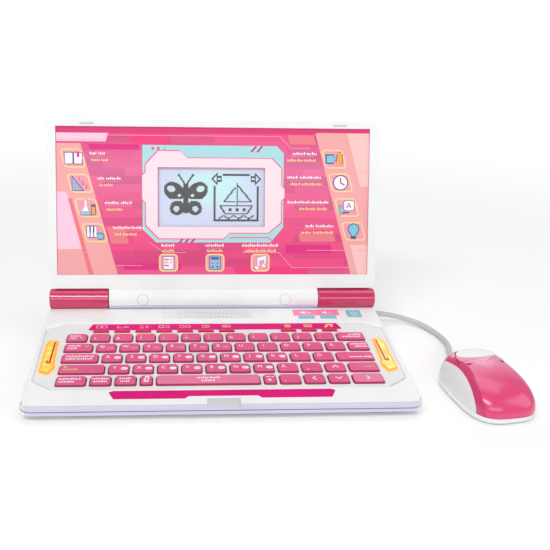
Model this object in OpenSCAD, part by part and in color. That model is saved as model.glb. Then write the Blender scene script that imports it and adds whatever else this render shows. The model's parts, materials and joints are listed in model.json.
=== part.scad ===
// Toy laptop computer: an open clamshell with a full keyboard, a small display in the lid
// and a corded mouse. Millimetres, +Z up. The origin lies on the table, in the middle of the
// footprint of the laptop and its mouse.

/* [Case] */
// Width of the case and of the lid
case_w = 300; // [270:1:330]
// Depth of the deck, from the hinge axis to the front edge
deck_depth = 163; // [147:0.5:180]
// Depth of the case behind the hinge axis
rear_depth = 11; // [10.6:0.1:16]
// Rise of the deck towards the rear, in degrees
deck_tilt = 3.5; // [3:0.1:6]
// Height of the deck's front edge above the table
front_h = 13; // [12.6:0.1:18]
// Height of the top case's rim
band_h = 4.5; // [4:0.1:6]
// Radius of the front corners in plan
corner_r = 9; // [5:0.5:14]
// Radius of the rear corners in plan
rear_corner_r = 3; // [2.5:0.5:5]
// Wall thickness of the case and lid shells
wall = 2; // [1.6:0.1:2.4]
// Thickness of the deck
deck_t = 2.4; // [2:0.1:2.8]
// Height of the rubber feet under the case
foot_h = 2; // [1.5:0.1:3]
// Diameter of the rubber feet
foot_d = 12; // [8:0.5:14]
// Height of the upright lip of the bottom case at the front
lip_h = 3.3; // [2.5:0.1:4]

/* [Hinge] */
// Height of the hinge axis above the deck
axis_h = 6; // [5.8:0.1:7]
// Radius of the hinge barrels
barrel_r = 10; // [9.5:0.1:10.5]
// Width of the lid's barrel between the two fixed ones
centre_barrel_w = 192; // [180:1:220]
// Gap between neighbouring barrels
barrel_gap = 0.7; // [0.4:0.1:1.5]
// Gap between the lid's barrel and its trough
trough_gap = 0.6; // [0.4:0.1:1]
// Diameter of the hinge pins
pin_d = 5; // [4:0.1:6]
// Running clearance of the pins in their bushes, on the diameter
pin_fit = 0.12; // [0.08:0.02:0.3]
// Angle between the lid and the deck, in degrees
open_angle = 110.1; // [95:0.1:125]

/* [Lid] */
// Distance from the hinge axis to the lid's front face
lid_face = 5.2; // [4.8:0.1:5.4]
// Distance from the hinge axis to the lid's back
lid_back = 8.8; // [8:0.1:12]
// Width of the lid's border beside the faceplate
border_side = 7; // [5:0.5:10]
// Width of the lid's border above the faceplate
border_top = 5.9; // [5:0.1:9]
// Height of the faceplate's lower edge above the hinge axis
border_low = 22.6; // [19:0.1:26]
// Depth of the faceplate behind the lid's front face
face_recess = 1.8; // [1.5:0.1:2.2]
// Thickness of the faceplate
face_t = 1.6; // [1.2:0.1:2]
// Width of the display opening
lcd_w = 97.6; // [80:0.1:104]
// Height of the display opening
lcd_h = 53.5; // [44:0.1:58]
// Sideways offset of the display
lcd_x = -2.4; // [-8:0.1:8]
// Height of the display's centre above the hinge axis
lcd_up = 93.3; // [88:0.1:96]

/* [Keyboard] */
// Distance from the case's side to the end of the key rows
keyboard_side = 22.422; // [22:0.001:26]
// Distance from the deck's front edge to the front of the last row
keys_front = 27.7; // [27.2:0.1:31]
// Space between neighbouring keys of a row
key_gap = 2.7; // [2.4:0.1:3]
// Space between the rows of keys
row_gap = 3.6; // [3.4:0.1:4.4]
// Length of a row in key pitches
row_units = 13.43; // [13.3:0.01:13.5]
// Height of the key tops above the keyboard plate
key_rise = 1.4; // [1.2:0.1:2]
// Travel of a key
key_travel = 1.2; // [0.8:0.1:1.4]
// Clearance round a key in its opening
key_fit = 0.35; // [0.25:0.05:0.45]
// Radius of a key's corners
key_r = 2.2; // [1:0.1:3]
// Distance from the hinge axis to the back edge of the first row
keys_back = 55.9; // [54:0.1:58]
// Depth of the keyboard plate's face below the deck
plate_recess = 0.8; // [0.6:0.1:1]
// Distance from the hinge axis to the keyboard plate's back edge
plate_back = 36; // [35:0.1:37]

/* [Mouse] */
// Length of the mouse
mouse_len = 82; // [76:1:90]
// Width of the mouse
mouse_w = 57; // [52:1:62]
// Height of the mouse
mouse_h = 29.5; // [27:0.5:33]
// Gap between the case's side and the mouse's middle
mouse_side = 58.5; // [50:0.5:80]
// Distance from the hinge axis forward to the mouse's middle
mouse_fore = 134; // [120:1:145]
// Turn of the mouse on the table, in degrees
mouse_yaw = 8; // [0:0.5:15]
// Thickness of the mouse's shells
mouse_wall = 1.8; // [1.4:0.1:2.2]
// Diameter of the mouse lead
lead_d = 4.8; // [4:0.1:5.5]

/* [Hidden] */
$fn = 48;

// Colours
shell_c = [0.94, 0.94, 0.95];
key_c = [0.87, 0.36, 0.53];
magenta_c = [0.88, 0.06, 0.51];
barrel_c = [0.84, 0.24, 0.43];
cyan_c = [0.49, 0.80, 0.86];
amber_c = [0.98, 0.78, 0.31];
board_c = [0.15, 0.45, 0.25];
steel_c = [0.75, 0.76, 0.78];
rubber_c = [0.55, 0.55, 0.57];
grey_c = [0.82, 0.82, 0.84];

// Small common sizes
far = 400;
touch = 0.01;
seat_gap = 0.1;
slip = 0.15;

// Case
half_w = case_w / 2;
rear_z = front_h + deck_depth * sin(deck_tilt);
floor_z = foot_h + wall;
taper_run = 13;
taper_drop = 6.7;
side_taper_h = 3;
side_taper_in = 3;
foot_seat = 0.8;
foot_side = 20;
foot_front = 18;
foot_rear = 12;
foot_spots = [for (x = [-1, 1], y = [-deck_depth + foot_front, rear_depth - foot_rear])
    [x * (half_w - foot_side), y]];

// Screws that hold the case shells together
boss_d = 7;
screw_d = 2.9;
screw_head_d = 5.5;
screw_head_h = 1.8;
boss_split = 6.5;
boss_seat = 9;
boss_spots = concat(
    [for (x = [-1, 1]) [x * (half_w - 8), -20]],
    [for (x = [-half_w + 32, -42, 42, half_w - 32]) [x, -deck_depth + 14.5]]);

// Keyboard
plate_t = 1.6;
plate_low = plate_recess + plate_t;
ledge_in = 1.2;
ledge_out = 1.5;
ledge_t = 1.2;
key_pitch = (case_w - 2 * keyboard_side + key_gap) / row_units;
field_w = row_units * key_pitch - key_gap;
row_pitch = (deck_depth - keys_front - keys_back + row_gap) / 5;
key_d = row_pitch - row_gap;
key_top = key_rise - plate_recess;
flange_w = 0.5;
flange_t = 1;
flange_top = max(plate_low, deck_t) + seat_gap;
flange_low = flange_top + flange_t;
key_taper = 0.45;
row_ones = [for (i = [1:11]) 1];
rows = [
    concat([1.04], row_ones, [1.39]),
    concat([1.37], row_ones, [1.06]),
    concat([1.68], [for (i = [1:10]) 1], [1.75]),
    concat([2.02], [for (i = [1:10]) 1], [1.41]),
    [1.35, 1, 1, 0.65, 4.35, 0.65, 1, 1, 1, 1.43]];
space_at = 4;
enter_at = 11;
up_at = 10;
left_at = 7;
down_at = 8;
right_at = 9;
last_row_front = keys_back + 4 * row_pitch + key_d;
plate_front = last_row_front + 4;
dome_d = 7;
dome_h = key_travel + 0.4;
sheet_top = flange_low + dome_h;
sheet_t = 1;
board_top = sheet_top + sheet_t;
board_t = 1.6;
board_low = board_top + board_t;
sheet_half = field_w / 2 + key_fit + flange_w + 0.7;
post_d = 6;
post_x = 90;

// Category buttons under the strip of symbols
cat_w = 13.1;
cat_d = 4;
cat_back = 48;
cat_rise = 1.1;
cat_x = concat([for (i = [0:6]) -99.9 + i * 18.15], [for (i = [0:2]) 63.4 + i * 18.2]);
strip_back = 37.4;
strip_half = 111;
label_t = 0.5;
label_recess = 0.3;

// Function buttons beside the grille
button_rise = 0.5;
volume_x = [half_w - 66.6, half_w - 46.8];
volume_w = 14.4;
volume_d = 5.2;
volume_back = 24.2;
power_side = 22;
power_w = 13;
power_d = 12.6;
power_back = 14.2;
function_x = half_w - 56.9;
function_w = 42;
function_d = 11;
function_back = 12.4;
button_fit = 0.25;
tongue_x = volume_x[0] - 13.4;
tongue_back = 12.8;

// Front strip and finger recess
front_inset = 9.3;
front_d = 10.8;
front_half = 86;
notch_half = 26;
notch_d = 3;
finger_w = 25;
finger_d = 9.4;
finger_depth = 2;

// Speaker grille
grille_back = 10.6;
grille_d = 18.6;
grille_half = half_w - 91;
grille_open_half = 35;
slot_w = 0.9;
slot_l = 2.7;
slot_x = 3.7;
slot_y = 2.6;
slot_slant = 32;
speaker_d = 22;
speaker_h = 7;
speaker_y = -22.4;

// Side lamps
lamp_side = 13;
lamp_back = 66;
lamp_ahead = 21.3;
lamp_l = plate_front - lamp_ahead - lamp_back;
lamp_w = 11.6;
lamp_flange = 0.7;
lamp_top = 0.2;
rod_w = 1.6;
rod_ends = 18;
rod_l = lamp_l - rod_ends;
rod_depth = 0.6;
led_d = 4;
led_h = 2;
led_board_t = 1.2;
lamp_mid_x = half_w - lamp_side - 0.8;
lamp_mid_y = -lamp_back - lamp_l / 2;
led_board_top = plate_low + ledge_t + led_h + 0.2;
led_board_low = led_board_top + led_board_t;

// Batteries
cell_d = 10.5;
cell_l = 44.5;
bay_x = -half_w + 17.5;
contact_t = 0.8;
contact_w = 8.5;
contact_h = 8;
bay_l = 2 * cell_l + 2 * contact_t + 0.4;
bay_back = 11.8;
bay_d = 2 * cell_d + 1;
bay_wall = 1.2;
door_t = 1.1;
door_lug = 7;
door_screw_x = bay_x + bay_l + bay_wall + door_lug / 2;
cell_z = floor_z + cell_d / 2 + 0.1;
bay_top = cell_z + cell_d / 2 + 0.3;

// Lid
lid_low = barrel_r + 0.8;
lid_len = deck_depth - 0.5;
lid_corner_r = 6;
channel_r = 6;
bush_l = 8;
pin_in = 11;
pin_out = 20;
plug_x = 65.5;
plug_d = 10;
plug_t = 1.5;
plug_proud = 0.15;
plug_solid = 7.5;
lcd_lap = 3;
window_t = 1;
glass_t = 2.2;
lcd_board_t = 1.6;
face_back = -lid_face + face_recess + face_t;
glass_front = face_back + window_t;
glass_back = glass_front + glass_t;
lcd_board_back = glass_back + lcd_board_t;
bumper_x = 115;
bumper_w = 12.5;
bumper_h = 1.6;
bumper_t = 1;
bumper_proud = 0.5;
bumper_z = lid_len - border_top / 2 - bumper_h / 2 - 0.3;

// Lead and its glands
gland_y = 3;
gland_z = 11;
gland_l = 9;
gland_neck_d = 6.4;
gland_fit = 0.1;
mouse_gland_z = 8;

// Mouse
mouse_x = half_w + mouse_side;
mouse_foot_h = 0.6;
mouse_split = 5.6;
mouse_under = 2.4;
plan_n = 2.6;
arch_n = 2.7;
apex_y = 6;
tail_n = 1.9;
nose_n = 3.2;
ring_count = 18;
ring_points = 20;
panel_y = 9;
panel_ry = 33;
panel_rz = 16.4;
panel_in = 11;
panel_sink = 0.5;
seam = 0.3;
v_tip = 4;
v_side = 13;
button_half = 20;
button_low = 14;
button_front = 32.5;
click = 0.6;
oval_y = 21;
oval_rx = 16.5;
oval_ry = 9.5;
oval_rise = 0.7;
plunger_z = 11.5;
mouse_screw_y = 24;

// Middle of the whole set, so that the origin stands under it
support_q = plan_n / (plan_n - 1);
mouse_reach_x = pow(pow(mouse_w / 2 * cos(mouse_yaw), support_q)
    + pow(mouse_len / 2 * sin(mouse_yaw), support_q), 1 / support_q);
mouse_reach_y = pow(pow(mouse_w / 2 * sin(mouse_yaw), support_q)
    + pow(mouse_len / 2 * cos(mouse_yaw), support_q), 1 / support_q);
set_x = (mouse_x + mouse_reach_x - half_w) / 2;
lean = open_angle - 90 - deck_tilt;
lid_top_y = lid_len * sin(lean) + lid_back * cos(lean) - axis_h * sin(deck_tilt);
front_y = min(-mouse_fore - mouse_reach_y, -deck_depth * cos(deck_tilt));
set_y = (front_y + lid_top_y) / 2;

// The lead's route, measured from the middle of the hinge line on the table
lead_route = [[159, 3, 11], [166, 3.6, 10], [175, 4.6, 7.8], [184.5, 3.2, 5.5], [193.8, -1.6, 4],
    [201, -10.4, 3], [206.2, -21.7, 2.5], [208.9, -34, 2.5], [208.9, -45.2, 3.2], [206.4, -56.4, 4.8],
    [203, -66.4, 6.6], [200.6, -76, 7.8], [201.54, -84.48, 8]];

// Frames: the table, the tilted deck, the lid and the mouse
module on_table() translate([-set_x, -set_y, 0]) children();
module on_deck() on_table() translate([0, 0, rear_z]) rotate([deck_tilt, 0, 0]) children();
module on_lid() on_deck() translate([0, 0, axis_h]) rotate([90 - open_angle, 0, 0]) children();
module on_mouse() on_table() translate([mouse_x, -mouse_fore, 0]) rotate([0, 0, mouse_yaw]) children();

// Round bar along X, from x0 to x1
module bar_x(r, x0, x1) translate([x0, 0, 0]) rotate([0, 90, 0]) cylinder(r = r, h = x1 - x0);

// Outline in the XY plane, extruded from z0 to z1
module rise(z0, z1) translate([0, 0, z0]) linear_extrude(z1 - z0) children();

// Outline given in X and Z, extruded along Y from y0 to y1
module lay(y0, y1) translate([0, y1, 0]) rotate([90, 0, 0]) linear_extrude(y1 - y0) children();

// Rectangle with round corners
module round_box(x0, x1, y0, y1, r) {
    translate([x0 + r, y0]) square([x1 - x0 - 2 * r, y1 - y0]);
    translate([x0, y0 + r]) square([x1 - x0, y1 - y0 - 2 * r]);
    for (x = [x0 + r, x1 - r], y = [y0 + r, y1 - r]) translate([x, y]) circle(r);
}

// ---------------------------------------------------------------- case shells

// Plan of the case, drawn in by inset
module case_plan(inset) {
    x = half_w - inset;
    y0 = -deck_depth + inset;
    y1 = rear_depth - inset;
    rf = corner_r - inset;
    rr = max(rear_corner_r - inset, 0.5);
    translate([-x, y0 + rf]) square([2 * x, y1 - y0 - rf - rr]);
    translate([-x + rf, y0]) square([2 * (x - rf), rf + 1]);
    translate([-x + rr, y1 - rr - 1]) square([2 * (x - rr), rr + 1]);
    for (s = [-1, 1]) {
        translate([s * (x - rf), y0 + rf]) circle(rf);
        translate([s * (x - rr), y1 - rr]) circle(rr);
    }
}

// The bottom case as one block, drawn in by inset: plan, front wedge and side taper together
module tray_block(inset, top) {
    y0 = -deck_depth + inset;
    x = half_w - inset;
    z0 = foot_h + inset;
    intersection() {
        on_deck() rise(-far / 4, top) case_plan(inset);
        on_deck() rotate([90, 0, 90]) translate([0, 0, -half_w]) linear_extrude(case_w)
            polygon([[y0, top + 1], [y0, -band_h - lip_h], [y0 + taper_run, -band_h - lip_h - taper_drop],
                [y0 + taper_run, -far / 4], [rear_depth + 1, -far / 4], [rear_depth + 1, top + 1]]);
        on_table() lay(-far / 2, far / 4)
            polygon([[-x + side_taper_in, z0], [x - side_taper_in, z0], [x, z0 + side_taper_h],
                [x, far / 4], [-x, far / 4], [-x, z0 + side_taper_h]]);
    }
}

// Outline of the keyboard plate, grown by g
module plate_plan(g) {
    half = [
        [half_w - 18 + g, -plate_back + g],
        [half_w - 3.6 + g, -plate_back - 9 + g],
        [half_w - 5 + g, -plate_front + 12 - g],
        [half_w - 21 + g, -plate_front - g]];
    polygon(concat(half, [for (i = [3:-1:0]) [-half[i].x, half[i].y]]));
}

module bottom_case() color(shell_c) {
    difference() {
        union() {
            difference() {
                tray_block(0, -band_h);
                tray_block(wall, 1);
            }
            intersection() {
                tray_block(wall / 2, 0);
                union() {
                    on_deck() for (p = boss_spots) translate([p.x, p.y, -far / 4])
                        cylinder(d = boss_d, h = far / 4 - boss_split);
                    on_deck() for (x = [-post_x, 0, post_x], y = [-keys_back - 6, -last_row_front + 10])
                        translate([x, y, -far / 4]) cylinder(d = post_d, h = far / 4 - board_low);
                    on_deck() for (s = [-1, 1], y = [-12, 12])
                        translate([s * lamp_mid_x, lamp_mid_y + y, -far / 4])
                            cylinder(d = led_d, h = far / 4 - led_board_low);
                }
            }
            battery_bay();
        }
        // battery opening with a stepped seat for its door
        on_table() translate([bay_x, -bay_back - bay_d, foot_h - 1]) cube([bay_l, bay_d, wall + 2]);
        on_table() translate([bay_x - bay_wall, -bay_back - bay_d - bay_wall, foot_h - 1])
            cube([bay_l + 2 * bay_wall + door_lug, bay_d + 2 * bay_wall, 1 + door_t + 0.1]);
        on_table() translate([door_screw_x, -bay_back - bay_d / 2, foot_h - 1])
            cylinder(d = screw_d, h = 8);
        // case screws, sunk from below
        on_deck() for (p = boss_spots) {
            translate([p.x, p.y, -far / 4]) cylinder(d = screw_head_d + 0.3, h = far / 4 - boss_seat);
            translate([p.x, p.y, -far / 4]) cylinder(d = screw_d + 0.3, h = far / 4);
        }
        on_table() for (p = foot_spots)
            translate([p.x, p.y, foot_h - 1]) cylinder(d = foot_d, h = 1 + foot_seat);
        // hole for the lead's gland
        on_table() translate([0, gland_y, gland_z]) bar_x(gland_neck_d / 2, half_w - wall - 2, half_w + 2);
    }
}

// Walls and roof round the battery cells
module battery_bay() on_table() difference() {
    union() {
        translate([bay_x - bay_wall, -bay_back - bay_d - bay_wall, foot_h + door_t + 0.1])
            cube([bay_l + 2 * bay_wall, bay_d + 2 * bay_wall, bay_top + bay_wall - foot_h - door_t - 0.1]);
        translate([door_screw_x, -bay_back - bay_d / 2, floor_z - 1]) cylinder(d = 6, h = 6);
    }
    translate([bay_x, -bay_back - bay_d, 0]) cube([bay_l, bay_d, bay_top]);
}

module top_case() color(shell_c) on_deck() difference() {
    union() {
        difference() {
            rise(-band_h, 0) case_plan(0);
            rise(-band_h - 1, -deck_t) case_plan(wall);
        }
        // ledge that carries the keyboard plate
        rise(-plate_low - ledge_t, -deck_t + touch) intersection() {
            plate_plan(ledge_out);
            case_plan(wall / 2);
        }
        // trough under the hinge barrels
        intersection() {
            translate([-half_w + wall + slip, -barrel_r - 4, -far / 8])
                cube([case_w - 2 * wall - 2 * slip, barrel_r + 4 + rear_depth - wall - slip,
                    far / 8 - touch]);
            translate([0, 0, axis_h]) bar_x(barrel_r + trough_gap + wall, -half_w, half_w);
        }
        for (p = boss_spots)
            translate([p.x, p.y, -boss_split]) cylinder(d = boss_d, h = boss_split - deck_t / 2);
    }
    rise(-plate_low, 1) plate_plan(0);
    rise(-far / 8, 1) plate_plan(-ledge_in);
    translate([0, 0, axis_h]) {
        bar_x(barrel_r + trough_gap, -centre_barrel_w / 2 - barrel_gap, centre_barrel_w / 2 + barrel_gap);
        bar_x(barrel_r + seat_gap / 2, -half_w - 1, half_w + 1);
    }
    rise(-deck_t - 1, 1) grille_plan(0);
    rise(-label_recess, 1) front_label_plan();
    rise(-label_recess, 1) function_label_plan();
    translate([0, -deck_depth, 0]) finger_cut();
    for (x = volume_x) button_hole(x, volume_back, volume_w, volume_d);
    button_hole(half_w - power_side, power_back, power_w, power_d);
    for (p = boss_spots) translate([p.x, p.y, -boss_split - 1]) cylinder(d = screw_d, h = boss_split - 2);
}

// Sloping dish at the front edge where a fingertip lifts the lid
module finger_cut() {
    rotate([90, 0, 90]) translate([0, 0, -finger_w / 2]) linear_extrude(finger_w)
        polygon([[finger_d, 0.01], [0, -finger_depth], [-1, -finger_depth], [-1, 1], [finger_d, 1]]);
}

// Hole through the deck for a button, x in the middle, back edge at back
module button_hole(x, back, w, d) rise(-deck_t - 1, 1)
    round_box(x - w / 2 - button_fit, x + w / 2 + button_fit,
        -back - d - button_fit, -back + button_fit, 0.8);

// ---------------------------------------------------------------- grille, labels, speaker

module grille_plan(g) {
    y0 = -grille_back - grille_d;
    y1 = -grille_back;
    polygon([[-grille_half, (y0 + y1) / 2 - 4], [-grille_half + 12, y0], [grille_half - 12, y0],
        [grille_half, (y0 + y1) / 2 - 4], [grille_half, (y0 + y1) / 2 + 5], [grille_half - 4, y1],
        [-grille_half + 4, y1], [-grille_half, (y0 + y1) / 2 + 5]]);
}

// Slanted slots in staggered rows, open in the middle and blind towards the ends
module speaker_grille() color(shell_c) on_deck() difference() {
    rise(-deck_t, 0) grille_plan(0);
    rows_n = floor((grille_d - 2.4) / slot_y);
    cols_n = floor((grille_half - 7) / slot_x);
    for (j = [0:rows_n - 1], i = [-cols_n:cols_n]) {
        x = (i + (j % 2) / 2) * slot_x;
        y = -grille_back - grille_d / 2 + (j - (rows_n - 1) / 2) * slot_y;
        open = abs(x) < grille_open_half;
        if (abs(x) < grille_half - 9 - 1.2 * abs(j - (rows_n - 1) / 2))
            translate([x, y, open ? -deck_t - 1 : -0.35]) rotate(j % 2 == 0 ? slot_slant : -slot_slant)
                translate([-slot_l / 2, -slot_w / 2]) cube([slot_l, slot_w, open ? deck_t + 2 : 1]);
    }
}

module front_label_plan() {
    y0 = -deck_depth + front_inset;
    y1 = y0 + front_d;
    polygon([[-front_half, y1 - 2], [-front_half + 3, y1], [front_half - 3, y1], [front_half, y1 - 2],
        [front_half - 4, y0], [notch_half + 3, y0], [notch_half, y0 + notch_d],
        [-notch_half, y0 + notch_d], [-notch_half - 3, y0], [-front_half + 4, y0]]);
}

module function_label_plan() translate([function_x - function_w / 2, -function_back - function_d])
    square([function_w, function_d]);

module front_label() color(magenta_c) on_deck()
    rise(-label_recess, -label_recess + label_t) front_label_plan();

module function_label() color([0.98, 0.57, 0.70]) on_deck()
    rise(-label_recess, -label_recess + label_t) function_label_plan();

// Strip of symbols on the keyboard plate
module category_label() color(magenta_c) on_deck() rise(-plate_recess, -plate_recess + label_t)
    polygon([[-strip_half + 3, -strip_back], [strip_half - 3, -strip_back], [strip_half, -cat_back + 1.4],
        [strip_half - 1, -cat_back + 0.4], [-strip_half + 1, -cat_back + 0.4],
        [-strip_half, -cat_back + 1.4]]);

// Moving-coil speaker: basket, magnet and cone in one revolved body
module speaker() color([0.2, 0.2, 0.22]) on_deck() translate([0, speaker_y, -deck_t - seat_gap]) {
    r = speaker_d / 2;
    rotate_extrude() polygon([[0, -2.2], [2.5, -2.6], [r - 2.5, -0.6], [r - 2, 0], [r, 0], [r, -1.4],
        [r - 2.6, -1.8], [r * 0.62, -speaker_h * 0.55], [r * 0.62, -speaker_h], [0, -speaker_h]]);
}

// ---------------------------------------------------------------- keyboard

function sum_to(list, n) = n <= 0 ? 0 : list[n - 1] + sum_to(list, n - 1);
function key_x(row, i) = -field_w / 2 + key_pitch * sum_to(rows[row], i);
function key_w(row, i) = key_pitch * (i == len(rows[row]) - 1
    ? row_units - sum_to(rows[row], i) : rows[row][i]) - key_gap;
function key_front(row) = -keys_back - key_d - row * row_pitch;

// A key cap with its near-vertical sides and the flange that holds it under the plate
module cap(x, y, w, d, top, r, taper) translate([x, y, -flange_low]) {
    h = flange_low + top;
    low = flange_low - plate_recess;
    intersection() {
        linear_extrude(h) round_box(0, w, 0, d, r);
        lay(-1, d + 1) polygon([[0, 0], [w, 0], [w, low], [w - taper, h], [taper, h], [0, low]]);
        rotate([90, 0, 90]) linear_extrude(w)
            polygon([[0, 0], [d, 0], [d, low], [d - taper, h], [taper, h], [0, low]]);
    }
    f = key_fit + flange_w;
    translate([-f, -f, 0]) cube([w + 2 * f, d + 2 * f, flange_t]);
}

module key(row, i) on_deck()
    cap(key_x(row, i), key_front(row), key_w(row, i), key_d, key_top, key_r, key_taper);

module key_row(row, skip) color(key_c)
    for (i = [0:len(rows[row]) - 1]) if (len([for (s = skip) if (s == i) 1]) == 0) key(row, i);

module keys_row1() key_row(0, []);
module keys_row2() key_row(1, []);
module keys_row3() key_row(2, [enter_at]);
module keys_row4() key_row(3, [up_at]);
module keys_row5() key_row(4, [space_at, left_at, down_at, right_at]);
module space_bar() color([0.90, 0.47, 0.63]) key(4, space_at);
module enter_key() color(key_c) key(2, enter_at);
module up_key() color(key_c) key(3, up_at);
module left_key() color([0.90, 0.47, 0.63]) key(4, left_at);
module down_key() color([0.90, 0.47, 0.63]) key(4, down_at);
module right_key() color([0.90, 0.47, 0.63]) key(4, right_at);

module category_buttons() color([0.78, 0.14, 0.27]) on_deck()
    for (x = cat_x) cap(x - cat_w / 2, -cat_back - cat_d, cat_w, cat_d, cat_rise - plate_recess, 0.6, 0.3);

module deck_button(x, back, w, d) color(cyan_c) on_deck() translate([x - w / 2, -back - d, 0]) {
    rise(-flange_low, button_rise) round_box(0, w, 0, d, 0.6);
    rise(-flange_low, -flange_top) round_box(-0.7, w + 0.7, -0.7, d + 0.7, 0.8);
}

module volume_down_button() deck_button(volume_x[0], volume_back, volume_w, volume_d);
module volume_up_button() deck_button(volume_x[1], volume_back, volume_w, volume_d);
module power_button() deck_button(half_w - power_side, power_back, power_w, power_d);

// Perforated plate round the keys
module keyboard_plate() color(shell_c) on_deck() difference() {
    rise(-plate_low, -plate_recess) plate_plan(-slip / 3);
    for (row = [0:4], i = [0:len(rows[row]) - 1]) rise(-plate_low - 1, 1)
        round_box(key_x(row, i) - key_fit, key_x(row, i) + key_w(row, i) + key_fit,
            key_front(row) - key_fit, key_front(row) + key_d + key_fit, key_r);
    for (x = cat_x) rise(-plate_low - 1, 1)
        round_box(x - cat_w / 2 - key_fit, x + cat_w / 2 + key_fit, -cat_back - cat_d - key_fit,
            -cat_back + key_fit, 0.6);
    for (s = [-1, 1]) rise(-plate_low - 1, 1) lamp_plan(s, 0);
}

// Rubber sheet with a dome under each key, and a small one under the function buttons
module keypad_sheet() color([0.85, 0.85, 0.8]) on_deck() {
    translate([-sheet_half, -last_row_front - 1.2, -board_top])
        cube([2 * sheet_half, last_row_front + 1.2 - cat_back + 1.2, sheet_t]);
    for (row = [0:4], i = [0:len(rows[row]) - 1])
        dome(key_x(row, i) + key_w(row, i) / 2, key_front(row) + key_d / 2, dome_d);
    for (x = cat_x) dome(x, -cat_back - cat_d / 2, cat_d - 0.6);
    translate([tongue_x + 1, -volume_back - volume_d - 1, -board_top])
        cube([half_w - power_side + power_w / 2 - tongue_x,
            volume_back + volume_d + 1 - tongue_back - 0.5, sheet_t]);
    for (x = volume_x) dome(x, -volume_back - volume_d / 2, 4);
    dome(half_w - power_side, -power_back - power_d / 2, dome_d);
}

module dome(x, y, d) translate([x, y, -sheet_top - touch])
    cylinder(d1 = d, d2 = d * 0.72, h = dome_h + touch);

// Circuit board under the sheet, with a tongue to the function buttons
module main_board() color(board_c) on_deck() rise(-board_low, -board_top) {
    translate([-sheet_half, -last_row_front - 1.2])
        square([2 * sheet_half, last_row_front + 1.2 - cat_back + 1.2]);
    translate([tongue_x, -cat_back - 1])
        square([half_w - power_side + power_w / 2 + 2 - tongue_x, cat_back + 1 - tongue_back]);
}

// ---------------------------------------------------------------- side lamps

// Chamfered outline of a lamp, on the side s, grown by g
module lamp_plan(s, g) {
    x0 = half_w - lamp_side - lamp_w / 2 - g;
    x1 = x0 + lamp_w + 2 * g;
    y1 = -lamp_back + g;
    y0 = -lamp_back - lamp_l - g;
    scale([s, 1]) polygon([[x0 + 3, y1], [x1 - 1.8, y1], [x1, y1 - 6], [x1, y0 + 4], [x1 - 8, y0],
        [x0 + 3.5, y0 + 1], [x0, y0 + 10], [x0 + 1.6, y0 + 16]]);
}

// Translucent lens with a groove for the coloured rod
module lamp_lens(s) color(amber_c) on_deck() difference() {
    union() {
        rise(-plate_low - ledge_t, lamp_top) lamp_plan(s, -slip / 2);
        rise(-plate_low - ledge_t, -plate_low) lamp_plan(s, lamp_flange);
    }
    rise(lamp_top - rod_depth, lamp_top + 1) rod_plan(s);
}

// Slim rod with a hooked front end
module rod_plan(s) scale([s, 1]) {
    translate([lamp_mid_x - rod_w / 2, -lamp_back - 3 - rod_l]) square([rod_w, rod_l]);
    translate([lamp_mid_x - rod_w / 2, -lamp_back - 3 - rod_l]) square([3.4, 2.2]);
    translate([lamp_mid_x + 1.8, -lamp_back - 3 - rod_l]) square([1.2, 5]);
}

module lamp_lens_left() lamp_lens(-1);
module lamp_lens_right() lamp_lens(1);
module lamp_rods() color([0.65, 0.27, 0.04]) on_deck()
    for (s = [-1, 1]) rise(lamp_top - rod_depth, lamp_top - 0.1) rod_plan(s);

// Small lamp boards with their diodes, under the lenses
module lamp_leds() color([0.95, 0.95, 0.8]) on_deck() for (s = [-1, 1]) {
    translate([s * lamp_mid_x - 3.5, lamp_mid_y - 16, -led_board_low]) cube([7, 32, led_board_t]);
    for (y = [-10, 10]) translate([s * lamp_mid_x, lamp_mid_y + y, -led_board_top - touch])
        cylinder(d = led_d, h = led_h + touch);
}

// ---------------------------------------------------------------- batteries, feet, screws

module battery_door() color(shell_c) on_table() difference() {
    translate([bay_x - bay_wall + slip, -bay_back - bay_d - bay_wall + slip, foot_h])
        cube([bay_l + 2 * bay_wall + door_lug - 2 * slip, bay_d + 2 * bay_wall - 2 * slip, door_t]);
    translate([door_screw_x, -bay_back - bay_d / 2, foot_h - 1]) cylinder(d = screw_d + 0.3, h = 4);
    translate([door_screw_x, -bay_back - bay_d / 2, foot_h - 1]) cylinder(d = screw_head_d + 0.3, h = 1.4);
    for (i = [0:4]) translate([bay_x + 8 + i * 2.4, -bay_back - bay_d * 0.75, foot_h - 1])
        cube([1.1, bay_d / 2, 1.4]);
}

module battery_door_screw() color(steel_c) on_table()
    translate([door_screw_x, -bay_back - bay_d / 2, foot_h - 0.6]) {
        cylinder(d = screw_head_d, h = 1);
        cylinder(d = screw_d, h = 7);
    }

module batteries() color([0.2, 0.45, 0.75]) on_table()
    for (i = [0, 1], j = [0, 1]) translate([bay_x + contact_t + 0.2 + i * cell_l,
        -bay_back - cell_d / 2 - 0.25 - j * (cell_d + 0.5), cell_z]) {
            bar_x(cell_d / 2, 0, cell_l - 1.2);
            bar_x(2, cell_l - 1.3, cell_l - seat_gap);
        }

module battery_contacts() color(steel_c) on_table()
    for (x = [bay_x, bay_x + bay_l - contact_t]) for (j = [0, 1])
        translate([x, -bay_back - bay_d / 2 + (j == 0 ? 1 : -1 - contact_w), cell_z - contact_h / 2])
            cube([contact_t, contact_w, contact_h]);

module rubber_feet() color(rubber_c) on_table()
    for (p = foot_spots) translate([p.x, p.y, 0]) cylinder(d = foot_d, h = foot_h + foot_seat);

module case_screws() color(steel_c) on_deck() for (p = boss_spots) translate([p.x, p.y, -boss_seat]) {
    translate([0, 0, -screw_head_h]) cylinder(d = screw_head_d, h = screw_head_h);
    cylinder(d = screw_d, h = boss_seat - deck_t - 1);
}

// ---------------------------------------------------------------- hinge

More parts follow.
